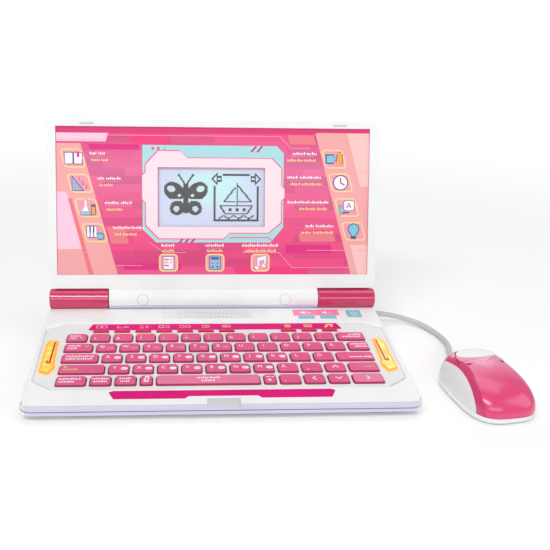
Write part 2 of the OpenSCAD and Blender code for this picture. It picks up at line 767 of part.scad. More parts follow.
module hinge_barrel(s) color(barrel_c) on_deck() translate([0, 0, axis_h]) scale([s, 1, 1]) difference() {
    bar_x(barrel_r, centre_barrel_w / 2 + barrel_gap, half_w);
    bar_x(pin_d / 2, 0, centre_barrel_w / 2 + pin_out);
}

module hinge_barrel_left() hinge_barrel(-1);
module hinge_barrel_right() hinge_barrel(1);

module hinge_pins() color(steel_c) on_deck() translate([0, 0, axis_h])
    for (s = [-1, 1]) scale([s, 1, 1])
        bar_x(pin_d / 2, centre_barrel_w / 2 - pin_in, centre_barrel_w / 2 + pin_out);

module hinge_bushes() color([0.8, 0.68, 0.4]) on_lid() for (s = [-1, 1]) scale([s, 1, 1]) difference() {
    bar_x(channel_r, centre_barrel_w / 2 - bush_l, centre_barrel_w / 2);
    bar_x((pin_d + pin_fit) / 2, centre_barrel_w / 2 - bush_l - 1, centre_barrel_w / 2 + 1);
}

// ---------------------------------------------------------------- lid

module lid_plan(inset)
    round_box(-half_w + inset, half_w - inset, lid_low + inset, lid_len - inset, lid_corner_r - inset);

// Lid block between the depths y0 and y1, with its share of the hinge barrel
module lid_block(y0, y1) {
    lay(y0, y1) lid_plan(0);
    translate([-centre_barrel_w / 2, y0, 0]) cube([centre_barrel_w, y1 - y0, lid_low + lid_corner_r]);
    intersection() {
        bar_x(barrel_r, -centre_barrel_w / 2, centre_barrel_w / 2);
        translate([-far / 2, y0 < 0 ? -far / 2 : 0, -far / 2]) cube([far, far / 2, far]);
    }
}

// Channel through the barrel, left solid where the screws pass
module channel() {
    bar_x(channel_r, -plug_x + plug_solid, plug_x - plug_solid);
    for (s = [-1, 1]) scale([s, 1, 1]) bar_x(channel_r, plug_x + plug_solid, centre_barrel_w / 2 + 1);
}

module lid_bezel() color(shell_c) on_lid() difference() {
    lid_block(-lid_face, 0);
    lay(-lid_face - 1, 1) window_plan(0);
    lay(-lid_face + face_recess, 1) lid_plan(wall);
    channel();
    for (s = [-1, 1]) {
        translate([s * plug_x, -barrel_r - 1, 0]) rotate([-90, 0, 0]) {
            cylinder(d = plug_d, h = 1 + plug_t);
            cylinder(d = screw_head_d + 0.3, h = 4.2);
            cylinder(d = screw_d + 0.3, h = 20);
        }
        translate([s * bumper_x - bumper_w / 2, -lid_face - 1, bumper_z])
            cube([bumper_w, 1 + bumper_t - bumper_proud, bumper_h]);
    }
}

module window_plan(g) translate([-half_w + border_side - g, border_low - g])
    square([case_w - 2 * border_side + 2 * g, lid_len - border_top - border_low + 2 * g]);

module lid_cover() color(shell_c) on_lid() difference() {
    union() {
        difference() {
            lid_block(0, lid_back);
            lay(-1, lid_back - wall) lid_plan(wall);
        }
        // posts behind the faceplate and the display's board
        for (x = [-half_w + 20, 0, half_w - 20], z = [border_low + 6, lid_len - 14])
            lid_post(x, z, face_back);
        for (s = [-1, 1], z = [-1, 1])
            lid_post(lcd_x + s * (lcd_w / 2 - 6), lcd_up + z * (lcd_h / 2 - 6), lcd_board_back);
    }
    channel();
    for (s = [-1, 1]) translate([s * plug_x, -1, 0]) rotate([-90, 0, 0]) cylinder(d = screw_d, h = 8);
}

module lid_post(x, z, y) translate([x, y, z]) rotate([-90, 0, 0])
    cylinder(d = post_d, h = lid_back - wall / 2 - y);

// Printed plate round the display
module faceplate() color([0.93, 0.33, 0.55]) on_lid() difference() {
    lay(-lid_face + face_recess, face_back) lid_plan(wall + slip);
    lay(-lid_face, face_back + 1) lcd_plan(0);
}

module lcd_plan(g) translate([lcd_x - lcd_w / 2 - g, lcd_up - lcd_h / 2 - g])
    square([lcd_w + 2 * g, lcd_h + 2 * g]);

module lcd_window() color([0.8, 0.92, 0.95, 0.4]) on_lid() lay(face_back, glass_front) lcd_plan(lcd_lap);
module lcd_glass() color([0.72, 0.89, 0.91]) on_lid() lay(glass_front, glass_back) lcd_plan(lcd_lap - 1);
module lcd_board() color(board_c) on_lid() lay(glass_back, lcd_board_back) lcd_plan(lcd_lap + 2);

module lid_screws() color(steel_c) on_lid() for (s = [-1, 1])
    translate([s * plug_x, -barrel_r + 3.2, 0]) rotate([-90, 0, 0]) {
        translate([0, 0, -1.6]) cylinder(d = screw_head_d, h = 1.6);
        cylinder(d = screw_d, h = barrel_r - 3.2 + 6);
    }

// Caps over the barrel's screws, curved like the barrel and a little proud of it
module hinge_screw_plugs() color(grey_c) on_lid() for (s = [-1, 1]) intersection() {
    translate([s * plug_x, -barrel_r - 1, 0]) rotate([-90, 0, 0])
        cylinder(d = plug_d - seat_gap, h = 1 + plug_t);
    bar_x(barrel_r + plug_proud, -half_w, half_w);
}

module lid_bumpers() color(grey_c) on_lid() for (s = [-1, 1])
    translate([s * bumper_x - bumper_w / 2, -lid_face - bumper_proud, bumper_z])
        cube([bumper_w, bumper_t, bumper_h]);

// ---------------------------------------------------------------- mouse lead

// Strain relief in the case's side wall: inner flange, neck and tapering boot along +X
module lead_gland() color(grey_c) on_table() translate([half_w, gland_y, gland_z]) rotate([0, 90, 0])
    rotate_extrude() polygon([[0, -wall - 1.6], [3.9, -wall - 1.6], [3.9, -wall - 0.1],
        [(gland_neck_d - gland_fit) / 2, -wall - 0.1], [(gland_neck_d - gland_fit) / 2, 0.05],
        [4.4, 0.05], [4.4, 1.4], [3.6, 2.2], [lead_d / 2 + 0.3, gland_l], [0, gland_l]]);

function unit(v) = v / norm(v);
nose_dir = [-sin(mouse_yaw), cos(mouse_yaw), 0];
function lead_dir(i) = i == 0 ? [1, 0, 0] : i == len(lead_route) - 1 ? -nose_dir
    : unit(lead_route[i + 1] - lead_route[i - 1]);

// Tube swept along the route, its rings upright
module mouse_lead() color(grey_c) on_table() {
    sides = 10;
    n = len(lead_route);
    ring = [for (i = [0:n - 1]) let (d = lead_dir(i), a = unit(cross([0, 0, 1], d)), b = cross(d, a))
        for (k = [0:sides - 1]) let (t = 360 * k / sides)
            lead_route[i] + lead_d / 2 * (cos(t) * a + sin(t) * b)];
    polyhedron(ring, concat(
        [[for (k = [0:sides - 1]) k]],
        [[for (k = [sides - 1:-1:0]) (n - 1) * sides + k]],
        [for (i = [0:n - 2], k = [0:sides - 1]) [i * sides + k, (i + 1) * sides + k,
            (i + 1) * sides + (k + 1) % sides, i * sides + (k + 1) % sides]]));
}

// ---------------------------------------------------------------- mouse

function pull(v, e) = sign(v) * pow(abs(v), e);
function plan_x(t) = pow(1 - pow(abs(t), plan_n), 1 / plan_n);
function arch(t) = let (y = t * mouse_len / 2, tail = y < apex_y,
    u = min(1, tail ? (apex_y - y) / (apex_y + mouse_len / 2) : (y - apex_y) / (mouse_len / 2 - apex_y)),
    n = tail ? tail_n : nose_n) pow(1 - pow(u, n), 1 / n);

// Upper form of the mouse above its split line, drawn in by g, with rings across its length
module mouse_form(g) {
    h = mouse_h - mouse_split - g;
    pts = [for (i = [0:ring_count]) let (t = -cos(2 + 176 * i / ring_count))
        for (k = [0:ring_points]) let (a = 180 * k / ring_points)
            [(mouse_w / 2 - g) * plan_x(t) * pull(cos(a), 2 / arch_n), (mouse_len / 2 - g) * t,
                mouse_split - (g > 0 ? 1 : 0) + (h + (g > 0 ? 1 : 0)) * arch(t) * pull(sin(a), 2 / arch_n)]];
    m = ring_points + 1;
    polyhedron(pts, concat(
        [[for (k = [m - 1:-1:0]) k]],
        [[for (k = [0:m - 1]) ring_count * m + k]],
        [for (i = [0:ring_count - 1], k = [0:m - 1]) [i * m + k, i * m + (k + 1) % m,
            (i + 1) * m + (k + 1) % m, (i + 1) * m + k]]));
}

// Plan of the mouse as a superellipse, drawn in by g
module mouse_plan(g) polygon([for (a = [0:6:354])
    [(mouse_w / 2 - g) * pull(cos(a), 2 / plan_n), (mouse_len / 2 - g) * pull(sin(a), 2 / plan_n)]]);

function ellipse(rx, ry) = [for (a = [0:10:350]) [rx * cos(a), ry * sin(a)]];

// Oval zone of the side panels, shrunk by g, on the side s
module panel_zone(s, g) translate([s * (panel_in + g), panel_y, mouse_split]) rotate([90, 0, s * 90])
    linear_extrude(far / 4) polygon(ellipse(panel_ry - g, panel_rz - g));

// Zone of the button, ahead of a V-shaped seam, drawn in by g
module button_zone(g, low) translate([0, 0, low]) linear_extrude(far / 4)
    polygon([[-button_half + g, v_side + g], [0, v_tip + g], [button_half - g, v_side + g],
        [button_half - 3 - g, v_side + 10], [button_half - 9 - g, button_front - g],
        [-button_half + 9 + g, button_front - g], [-button_half + 3 + g, v_side + 10]]);

module oval_zone(g, low) translate([0, oval_y, low])
    linear_extrude(far / 4) polygon(ellipse(oval_rx - g, oval_ry - g));

module mouse_shell() color([0.90, 0.29, 0.51]) on_mouse() difference() {
    mouse_form(0);
    mouse_form(mouse_wall);
    for (s = [-1, 1]) panel_zone(s, 0);
    button_zone(0, button_low);
    translate([0, 0, mouse_gland_z]) rotate([-90, 0, 0]) cylinder(d = gland_neck_d, h = far);
    for (s = [-1, 1]) translate([s * 14, 5.5, mouse_h - 3.4]) rotate(s * 20) linear_extrude(5)
        polygon([[-3.4, 1.2], [3.4, 1.2], [0, -2.6]]);
}

module mouse_side(s) color(grey_c) on_mouse() intersection() {
    difference() {
        mouse_form(panel_sink);
        mouse_form(panel_sink + mouse_wall);
    }
    panel_zone(s, seam / 3);
    translate([-far / 2, -far / 2, mouse_split]) cube([far, far, far]);
}

module mouse_side_left() mouse_side(-1);
module mouse_side_right() mouse_side(1);

// Button cap with a flange under the shell, a seat for the oval insert and a plunger over the switch
module mouse_button() color([0.92, 0.36, 0.56]) on_mouse() difference() {
    union() {
        intersection() {
            mouse_form(touch);
            button_zone(seam, button_low);
        }
        intersection() {
            mouse_form(mouse_wall + seat_gap);
            button_zone(-1, button_low + 0.5);
        }
    }
    difference() {
        mouse_form(mouse_wall + 1.2);
        translate([0, oval_y, 0]) cylinder(d = 4, h = mouse_h);
    }
    translate([-far / 2, -far / 2, -1]) cube([far, far, plunger_z + 1]);
    for (s = [-1, 1]) panel_zone(s, -seam - click);
    difference() {
        oval_zone(0, button_low);
        mouse_form(mouse_wall);
    }
}

module mouse_oval() color(shell_c) on_mouse() intersection() {
    difference() {
        mouse_form(-oval_rise);
        mouse_form(mouse_wall);
    }
    oval_zone(touch, button_low);
}

// Lower tray of the mouse, with its rim, floor and gland seat
module mouse_base() color(shell_c) on_mouse() difference() {
    union() {
        rise(mouse_under, mouse_split) mouse_plan(0);
        rise(mouse_foot_h, mouse_under) mouse_plan(1.6);
    }
    rise(mouse_foot_h + mouse_wall, mouse_split + 1) mouse_plan(3.4);
    translate([0, 0, mouse_gland_z]) rotate([-90, 0, 0]) cylinder(d = gland_neck_d, h = far);
    translate([0, -6, -1]) cylinder(d = 9, h = 8);
    translate([0, mouse_screw_y, -1]) cylinder(d = screw_head_d + 0.3, h = 2.6);
    translate([0, mouse_screw_y, -1]) cylinder(d = screw_d + 0.3, h = 8);
}

module mouse_board() color(board_c) on_mouse() {
    rise(mouse_foot_h + mouse_wall, mouse_foot_h + mouse_wall + 1.6) difference() {
        mouse_plan(6);
        translate([0, mouse_screw_y]) circle(d = 7);
    }
    translate([-3.2, oval_y - 8, 4]) cube([6.4, 5, 6]);
    translate([-4, -10, 3]) cube([8, 8, 4]);
}

module mouse_feet() color(rubber_c) on_mouse() for (y = [-28, 30])
    rise(0, mouse_foot_h) round_box(-9, 9, y - 3, y + 3, 2.5);

module mouse_screw() color(steel_c) on_mouse() translate([0, mouse_screw_y, 1.6]) {
    translate([0, 0, -1]) cylinder(d = screw_head_d, h = 1);
    cylinder(d = screw_d, h = 7);
}

// Strain relief in the mouse's nose
module mouse_gland() color(grey_c) on_mouse() translate([0, mouse_len / 2, mouse_gland_z]) rotate([-90, 0, 0])
    rotate_extrude() polygon([[0, -mouse_wall - 2.4], [(gland_neck_d - gland_fit) / 2, -mouse_wall - 2.4],
        [(gland_neck_d - gland_fit) / 2, 0.4], [3.6, 1], [lead_d / 2 + 0.3, gland_l], [0, gland_l]]);

bottom_case();
top_case();
speaker_grille();
keyboard_plate();
keypad_sheet();
main_board();
speaker();
battery_door();
battery_door_screw();
batteries();
battery_contacts();
rubber_feet();
case_screws();
lamp_lens_left();
lamp_lens_right();
lamp_rods();
lamp_leds();
category_label();
front_label();
function_label();
hinge_barrel_left();
hinge_barrel_right();
hinge_pins();
lead_gland();
mouse_lead();
lid_bezel();
lid_cover();
faceplate();
lcd_window();
lcd_glass();
lcd_board();
hinge_bushes();
lid_screws();
hinge_screw_plugs();
lid_bumpers();
keys_row1();
keys_row2();
keys_row3();
keys_row4();
keys_row5();
space_bar();
enter_key();
up_key();
left_key();
down_key();
right_key();
category_buttons();
volume_down_button();
volume_up_button();
power_button();
mouse_base();
mouse_shell();
mouse_side_left();
mouse_side_right();
mouse_board();
mouse_feet();
mouse_screw();
mouse_gland();
mouse_button();
mouse_oval();
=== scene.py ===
# %% [markdown]
# # A toy laptop computer with its mouse
#
# The lid, case, keys and mouse already exist as accurate solids. They arrive as the frame,
# and stay exactly where they are. This lesson gives them moulded plastic, rounded edges,
# printed signs, a display that shows something, and soft studio light.

# %% Load the frame
import json
import math

import bpy
from mathutils import Matrix, Vector


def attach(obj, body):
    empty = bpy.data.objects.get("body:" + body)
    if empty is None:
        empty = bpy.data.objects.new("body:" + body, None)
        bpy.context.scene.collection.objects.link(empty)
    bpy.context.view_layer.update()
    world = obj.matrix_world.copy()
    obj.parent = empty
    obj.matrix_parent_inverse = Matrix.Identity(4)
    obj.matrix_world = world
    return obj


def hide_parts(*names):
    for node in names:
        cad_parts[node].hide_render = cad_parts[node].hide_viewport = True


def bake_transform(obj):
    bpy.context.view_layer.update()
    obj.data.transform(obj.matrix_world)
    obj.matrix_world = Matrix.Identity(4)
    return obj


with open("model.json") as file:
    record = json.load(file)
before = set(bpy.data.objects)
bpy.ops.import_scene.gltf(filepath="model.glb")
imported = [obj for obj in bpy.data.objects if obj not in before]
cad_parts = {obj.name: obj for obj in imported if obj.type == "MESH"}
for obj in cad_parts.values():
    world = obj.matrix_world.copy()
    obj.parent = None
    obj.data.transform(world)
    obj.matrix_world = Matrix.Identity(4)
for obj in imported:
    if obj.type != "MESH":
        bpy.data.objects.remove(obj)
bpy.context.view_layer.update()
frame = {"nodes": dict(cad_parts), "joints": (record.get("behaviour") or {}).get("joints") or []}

MM = 0.001
scene = bpy.context.scene

# %% [markdown]
# ## Four places to work in
#
# A laptop is easiest to describe on its own parts: on the table, on the sloping deck, on the
# open lid and on the turned mouse. Each place gets a matrix that takes millimetres there to
# metres in the world. The hinge joint says where the hinge line is, and the rest follows.

# %% Matrices for the table, deck, lid and mouse
deck_slope, lid_lean = 3.5, 20.1  # degrees: the deck's slope, and the lid's lean from upright
deck_tilt = math.radians(deck_slope)
lid_turn = math.radians(deck_slope - lid_lean)
axis_h = 6.0  # millimetres from the deck up to the hinge line
mouse_at = (208.5, -134.0)
mouse_yaw = math.radians(8)
hinge = Vector(next(j for j in frame["joints"] if j["name"] == "lid_hinge")["pos_m"])
to_mm = Matrix.Scale(MM, 4)
TABLE = Matrix.Translation((hinge.x, hinge.y + MM * axis_h * math.sin(deck_tilt), 0)) @ to_mm
LID = Matrix.Translation(hinge) @ Matrix.Rotation(lid_turn, 4, "X") @ to_mm
DECK = (Matrix.Translation(hinge) @ Matrix.Rotation(deck_tilt, 4, "X")
        @ Matrix.Translation((0, 0, -MM * axis_h)) @ to_mm)
MOUSE = TABLE @ Matrix.Translation((*mouse_at, 0)) @ Matrix.Rotation(mouse_yaw, 4, "Z")
print("hinge line at", [round(v, 4) for v in hinge])

# %% [markdown]
# ## The camera
#
# The laptop is seen from the front and a little above, with a medium lens. The camera's place
# is written in the laptop's own millimetres. A small sideways shift of the lens keeps the
# laptop square in the picture while the mouse still fits at the right.

# %% Camera
cam_data = bpy.data.cameras.new("camera")
cam_data.lens = 48.391
cam_data.sensor_width = 36
cam_data.shift_x = 0.10
camera_at = (-36.752, -632.443, 298.947)
camera_yaw, camera_tip, camera_roll = -3.8005, 68.7282, 1.2906
camera = bpy.data.objects.new("camera", cam_data)
scene.collection.objects.link(camera)
camera.matrix_world = (Matrix.Translation(TABLE @ Vector(camera_at))
                       @ Matrix.Rotation(math.radians(camera_yaw), 4, "Z")
                       @ Matrix.Rotation(math.radians(camera_tip), 4, "X")
                       @ Matrix.Rotation(math.radians(camera_roll), 4, "Z"))
scene.camera = camera
print("camera lens", cam_data.lens, "mm")

# %% [markdown]
# ## Hands for the bench
#
# Blender's operators act on whatever is selected, so each step starts by selecting nothing.
# Colours are written as the 0 to 255 numbers of a paint chart and changed to the linear
# numbers that shaders want. `settle` closes a mesh, points its faces outwards and puts its
# place into the mesh, so that every finished object sits at the origin.

# %% [markdown]
# ## Helpers for meshes and finishes
#
# Every piece goes through the same few steps. It is selected, some of its faces or edges are
# chosen and changed, its doubles are merged, and it is laid in its place with a name, a
# finish and a body. Written out for each piece, these steps would hide what is special about
# it, so they are written once here.

# %% Selecting, and going in and out of edit mode
def pick(obj):
    """Selects obj alone and makes it active."""
    bpy.ops.object.select_all(action="DESELECT")
    obj.select_set(True)
    bpy.context.view_layer.objects.active = obj
    return obj


def choose(obj, kind, test):
    """Goes into edit mode with the faces, edges or corners that pass a test selected."""
    mesh = obj.data
    pick(obj)
    bpy.context.tool_settings.mesh_select_mode = (kind == "VERT", kind == "EDGE", kind == "FACE")
    for part in (mesh.vertices, mesh.edges, mesh.polygons):
        for item in part:
            item.select = False
    if kind == "FACE":
        for face in mesh.polygons:
            face.select = test(face.center, face.normal)
    elif kind == "EDGE":
        for edge in mesh.edges:
            a, b = (mesh.vertices[v].co for v in edge.vertices)
            edge.select = test(a, b)
    else:
        for vertex in mesh.vertices:
            vertex.select = test(vertex.co)
    bpy.ops.object.mode_set(mode="EDIT")


def leave():
    """Goes back to object mode."""
    bpy.ops.object.mode_set(mode="OBJECT")


print("helpers: pick, choose, leave")


# %% Colours, nodes, placing and naming
def rgb(r, g, b):
    """A chart colour as a shader colour."""
    def linear(v):
        v /= 255
        return v / 12.92 if v <= 0.04045 else ((v + 0.055) / 1.055) ** 2.4
    return (linear(r), linear(g), linear(b), 1.0)


def wire(links, *pairs):
    """Joins the nodes of a material: each pair is an output and the input it goes to."""
    for out, into in pairs:
        links.new(out, into)


def settle(obj, place, merge=0.001):
    """Merges doubles, points faces outwards and moves the mesh to its place."""
    pick(obj)
    bpy.ops.object.transform_apply(location=True, rotation=True, scale=True)
    bpy.ops.object.mode_set(mode="EDIT")
    bpy.ops.mesh.select_all(action="SELECT")
    bpy.ops.mesh.remove_doubles(threshold=merge)
    bpy.ops.mesh.normals_make_consistent(inside=False)
    leave()
    obj.data.transform(place)
    return obj


def dress(obj, name, material, body, replaces=()):
    """Names a finished piece and gives it its material, body and the solids it stands for."""
    obj.name = obj.data.name = name
    if material:
        obj.data.materials.clear()
        obj.data.materials.append(material)
    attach(obj, body)
    if replaces:
        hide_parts(*replaces)
    return obj


print("helpers: rgb, wire, settle, dress")

# %% [markdown]
# ## The mouse lead
#
# A thin light grey lead leaves the right side of the case through a strain relief, drops to
# the table, bends forward in one loose curve and rises into the mouse's nose. It is a curve
# with a round section, so its length is the length of its centre line. It is 4.8 mm thick.
# The mouse can slide; the lead becomes a mesh further on.

# %% Lead from the case to the mouse
lead_d = 4.8
lead_points = [(159, 3, 11), (166, 3.6, 10), (175, 4.6, 7.8), (184.5, 3.2, 5.5),
               (193.8, -1.6, 4), (201, -10.4, 3), (206.2, -21.7, 2.5), (208.9, -34, 2.5),
               (208.9, -45.2, 3.2), (206.4, -56.4, 4.8), (203, -66.4, 6.6), (200.6, -76, 7.8),
               (201.54, -84.48, 8)]


def smooth_path(points, steps, first, last):
    """Points on one smooth curve through the given ones, with its end directions given."""
    pts = [Vector(p) for p in points]
    n = len(pts)
    slope = [(pts[min(i + 1, n - 1)] - pts[max(i - 1, 0)]) / (2 if 0 < i < n - 1 else 1)
             for i in range(n)]
    slope[0] = Vector(first) * (pts[1] - pts[0]).length
    slope[-1] = Vector(last) * (pts[-1] - pts[-2]).length
    out = []
    for i in range(n - 1):
        for k in range(steps):
            t = k / steps
            out.append(pts[i] * (2 * t**3 - 3 * t**2 + 1) + slope[i] * (t**3 - 2 * t**2 + t)
                       + pts[i + 1] * (3 * t**2 - 2 * t**3) + slope[i + 1] * (t**3 - t**2))
    return out + [pts[-1]]


nose = (math.sin(mouse_yaw), -math.cos(mouse_yaw), 0)
lead_path = [TABLE @ p for p in smooth_path(lead_points, 3, (1, 0, 0), nose)]

# %% [markdown]
# ## Floor, sky and lamps
#
# A product like this is shown on a plain white sheet. A lit floor could do that alone, but it
# turns grey where the lamps don't reach. So the floor is lit and shadowed close to the toy,
# and fades to plain white paper further out, for the camera only. Five wide lamps and an even
# sky make soft light at a plain level, so that a pink that is written as pink comes out pink.

# %% White floor that keeps the shadow
bpy.ops.mesh.primitive_plane_add(size=4)
floor = bpy.context.object
floor.name = "floor"
floor_mat = bpy.data.materials.new("white sheet")
floor_mat.use_nodes = True
tree = floor_mat.node_tree
sheet = tree.nodes["Principled BSDF"]
sheet.inputs["Base Color"].default_value = rgb(250, 250, 251)
sheet.inputs["Roughness"].default_value = 0.9
sheet.inputs["Specular IOR Level"].default_value = 0.1
glow = tree.nodes.new("ShaderNodeEmission")
glow.inputs["Strength"].default_value = 0.04
seen = tree.nodes.new("ShaderNodeLightPath")
lift = tree.nodes.new("ShaderNodeMixShader")
both = tree.nodes.new("ShaderNodeAddShader")
spot = tree.nodes.new("ShaderNodeTexCoord")
distance = tree.nodes.new("ShaderNodeVectorMath")
distance.operation = "LENGTH"
fade = tree.nodes.new("ShaderNodeMapRange")
fade.interpolation_type = "SMOOTHSTEP"
fade.inputs["From Min"].default_value = 0.3
fade.inputs["From Max"].default_value = 1.0
paper = tree.nodes.new("ShaderNodeEmission")
away = tree.nodes.new("ShaderNodeMixShader")
wire(tree.links,
     (spot.outputs["Object"], distance.inputs[0]),
     (distance.outputs["Value"], fade.inputs["Value"]),
     (fade.outputs[0], away.inputs[0]),
     (sheet.outputs[0], both.inputs[0]),
     (glow.outputs[0], both.inputs[1]),
     (both.outputs[0], away.inputs[1]),
     (paper.outputs[0], away.inputs[2]),
     (seen.outputs["Is Camera Ray"], lift.inputs[0]),
     (sheet.outputs[0], lift.inputs[1]),
     (away.outputs[0], lift.inputs[2]),
     (lift.outputs[0], tree.nodes["Material Output"].inputs["Surface"]))
floor.data.materials.append(floor_mat)
print("floor", floor.dimensions[:2], "metres")

# %% Even sky
world = bpy.data.worlds.new("studio")
scene.world = world
world.use_nodes = True
sky = world.node_tree.nodes["Background"]
sky.inputs["Color"].default_value = (1, 1, 1, 1)
sky_path = world.node_tree.nodes.new("ShaderNodeLightPath")
sky_level = world.node_tree.nodes.new("ShaderNodeMapRange")
sky_level.inputs["To Min"].default_value = 0.43
sky_level.inputs["To Max"].default_value = 1.0
wire(world.node_tree.links,
     (sky_path.outputs["Is Camera Ray"], sky_level.inputs["Value"]),
     (sky_level.outputs[0], sky.inputs["Strength"]))
scene.view_settings.view_transform = "Standard"
print("sky strength on the toy:", round(sky_level.inputs["To Min"].default_value, 2))


# %% Five wide lamps
def lamp(name, place, aim, width, depth, watts):
    """A wide soft lamp at place that points at aim."""
    data = bpy.data.lights.new(name, "AREA")
    data.shape = "RECTANGLE"
    data.size, data.size_y, data.energy = width, depth, watts
    obj = bpy.data.objects.new(name, data)
    scene.collection.objects.link(obj)
    obj.location = place
    obj.rotation_euler = (Vector(aim) - Vector(place)).to_track_quat("-Z", "Y").to_euler()


lamp("key lamp", (-0.6, -0.9, 1.35), (0, 0, 0.05), 1.1, 0.34, 10)
lamp("top lamp", (0.1, 0.35, 1.5), (0, 0, 0.05), 1.6, 0.8, 5)
lamp("side lamp", (1.2, -0.5, 0.7), (0.05, 0, 0.05), 0.8, 0.9, 3)
lamp("front lamp", (0.1, -1.7, 0.75), (0, 0.05, 0.12), 1.6, 0.5, 5.5)
lamp("rear lamp", (0.3, 1.6, 0.7), (0, 0.05, 0.1), 1.4, 0.9, 3.5)
print(len(bpy.data.lights), "lamps")

# %% [markdown]
# ## Moulded plastic
#
# Injection moulded plastic is never one flat colour. It has a very fine grain from the mould,
# a slow drift in colour where the melt flowed, and a gloss that varies a little. One helper
# builds such a finish from two noises on Object coordinates. Gloss parts get a clear coat.

# %% A finish for moulded plastic
def plastic(name, colour, rough=0.38, coat=0.0, drift=0.05, grain=0.12, grain_size=0.35,
            flow_scale=22, bright=None):
    """Moulded plastic. drift is how far its colour wanders, grain how deep its texture is.

    bright is the far end of the drift, where that isn't just a paler tone of the colour.
    """
    mat = bpy.data.materials.new(name)
    mat.use_nodes = True
    nodes, links = mat.node_tree.nodes, mat.node_tree.links
    bsdf = nodes["Principled BSDF"]
    bsdf.inputs["Coat Weight"].default_value = coat
    bsdf.inputs["Coat Roughness"].default_value = 0.08
    place = nodes.new("ShaderNodeTexCoord").outputs["Object"]
    flow = nodes.new("ShaderNodeTexNoise")
    flow.inputs["Scale"].default_value = flow_scale
    flow.inputs["Detail"].default_value = 2
    fine = nodes.new("ShaderNodeTexNoise")
    fine.inputs["Scale"].default_value = 1 / (grain_size * MM)
    fine.inputs["Detail"].default_value = 1
    wire(links, (place, flow.inputs["Vector"]), (place, fine.inputs["Vector"]))
    ramp = nodes.new("ShaderNodeValToRGB")
    ramp.color_ramp.elements[0].position = 0.3
    ramp.color_ramp.elements[1].position = 0.7
    deep, pale = [(*[min(1, c * share) for c in colour[:3]], 1)
                  for share in (1 - drift, 1 + drift / 3)]
    ramp.color_ramp.elements[0].color = deep
    ramp.color_ramp.elements[1].color = bright or pale
    wire(links, (flow.outputs["Fac"], ramp.inputs["Fac"]),
         (ramp.outputs["Color"], bsdf.inputs["Base Color"]))
    gloss = nodes.new("ShaderNodeMapRange")
    gloss.inputs["To Min"].default_value = rough * 0.9
    gloss.inputs["To Max"].default_value = rough * 1.1
    wire(links, (fine.outputs["Fac"], gloss.inputs["Value"]),
         (gloss.outputs[0], bsdf.inputs["Roughness"]))
    bump = nodes.new("ShaderNodeBump")
    bump.inputs["Strength"].default_value = grain
    bump.inputs["Distance"].default_value = 0.04 * MM
    wire(links, (fine.outputs["Fac"], bump.inputs["Height"]),
         (bump.outputs["Normal"], bsdf.inputs["Normal"]))
    return mat


def shader_of(mat):
    """The main shader of a finish."""
    return mat.node_tree.nodes["Principled BSDF"]


print("helpers: plastic, shader_of")

# %% Finishes of the shells, keys and small parts
white = plastic("white shell", rgb(242, 245, 244), rough=0.42)
plate_white = plastic("key plate white", rgb(231, 234, 234), rough=0.5)
# painted lilac shade, for faces that look forward and for the white barrel's underside
painted_lilac_shade = plastic("painted lilac shade on white", rgb(214, 211, 235), rough=0.42)
key_pink = plastic("key pink", rgb(223, 88, 139), rough=0.4, drift=0.08)
# painted shade for the upright sides of the keys
key_side_shade = plastic("painted shade on key sides", rgb(186, 52, 100), rough=0.45, drift=0.08)
key_pale = plastic("pale key pink", rgb(230, 120, 160), rough=0.4, drift=0.08)
barrel = plastic("barrel pink", rgb(206, 8, 90), rough=0.24, coat=1.0)
shader_of(barrel).inputs["Coat IOR"].default_value = 1.6
crimson = plastic("crimson button", rgb(204, 32, 72), rough=0.3, coat=0.3)
cyan = plastic("cyan button", rgb(125, 205, 220), rough=0.35)
grey = plastic("light grey plastic", rgb(205, 206, 210), rough=0.45)
soft_grey = plastic("soft grey sleeve", rgb(197, 198, 201), rough=0.6, grain=0.3)
rubber = plastic("grey rubber", rgb(150, 150, 154), rough=0.8, grain=0.6)
mouse_grey = plastic("mouse side grey", rgb(228, 229, 231), rough=0.4)
steel = plastic("screw steel", rgb(176, 178, 182), rough=0.32)
shader_of(steel).inputs["Metallic"].default_value = 1.0
dark = plastic("dark inside", rgb(58, 56, 62), rough=0.6)
print(len(bpy.data.materials), "finishes so far")

# %% [markdown]
# ## Rounded edges on the shells
#
# Real mouldings have no knife edges: every rim catches a thin line of light. The accurate
# solids stay untouched. Each shell gets a copy whose flat faces are cleaned, whose sharp
# edges are rounded with a bevel, and whose normals lean towards the large faces. The copy
# then stands for the solid. A small function says how round each edge is from its place.

# %% A clean copy of a solid
bpy.context.preferences.edit.use_global_undo = False  # undo steps would only cost time


def copy_of(node, name):
    """A clean copy of a solid: doubles merged and coplanar triangles made whole faces."""
    obj = bpy.data.objects.new(name, frame["nodes"][node].data.copy())
    scene.collection.objects.link(obj)
    pick(obj)
    bpy.ops.mesh.customdata_custom_splitnormals_clear()
    bpy.ops.object.mode_set(mode="EDIT")
    bpy.ops.mesh.select_all(action="SELECT")
    bpy.ops.mesh.remove_doubles(threshold=0.004 * MM)
    bpy.ops.mesh.dissolve_limited(angle_limit=math.radians(0.4))
    leave()
    return obj


def even_shade(obj, angle=34):
    """Smooth shading with flat faces kept flat."""
    pick(obj)
    bpy.ops.object.shade_smooth_by_angle(angle=math.radians(angle))
    lean = obj.modifiers.new("flat faces", "WEIGHTED_NORMAL")
    lean.keep_sharp = True
    bpy.ops.object.modifier_apply(modifier="flat faces")
    return obj


print("helpers: copy_of, even_shade")


# %% Rounded edges
sharp_edge = 30  # degrees between two faces, past which their edge is rounded


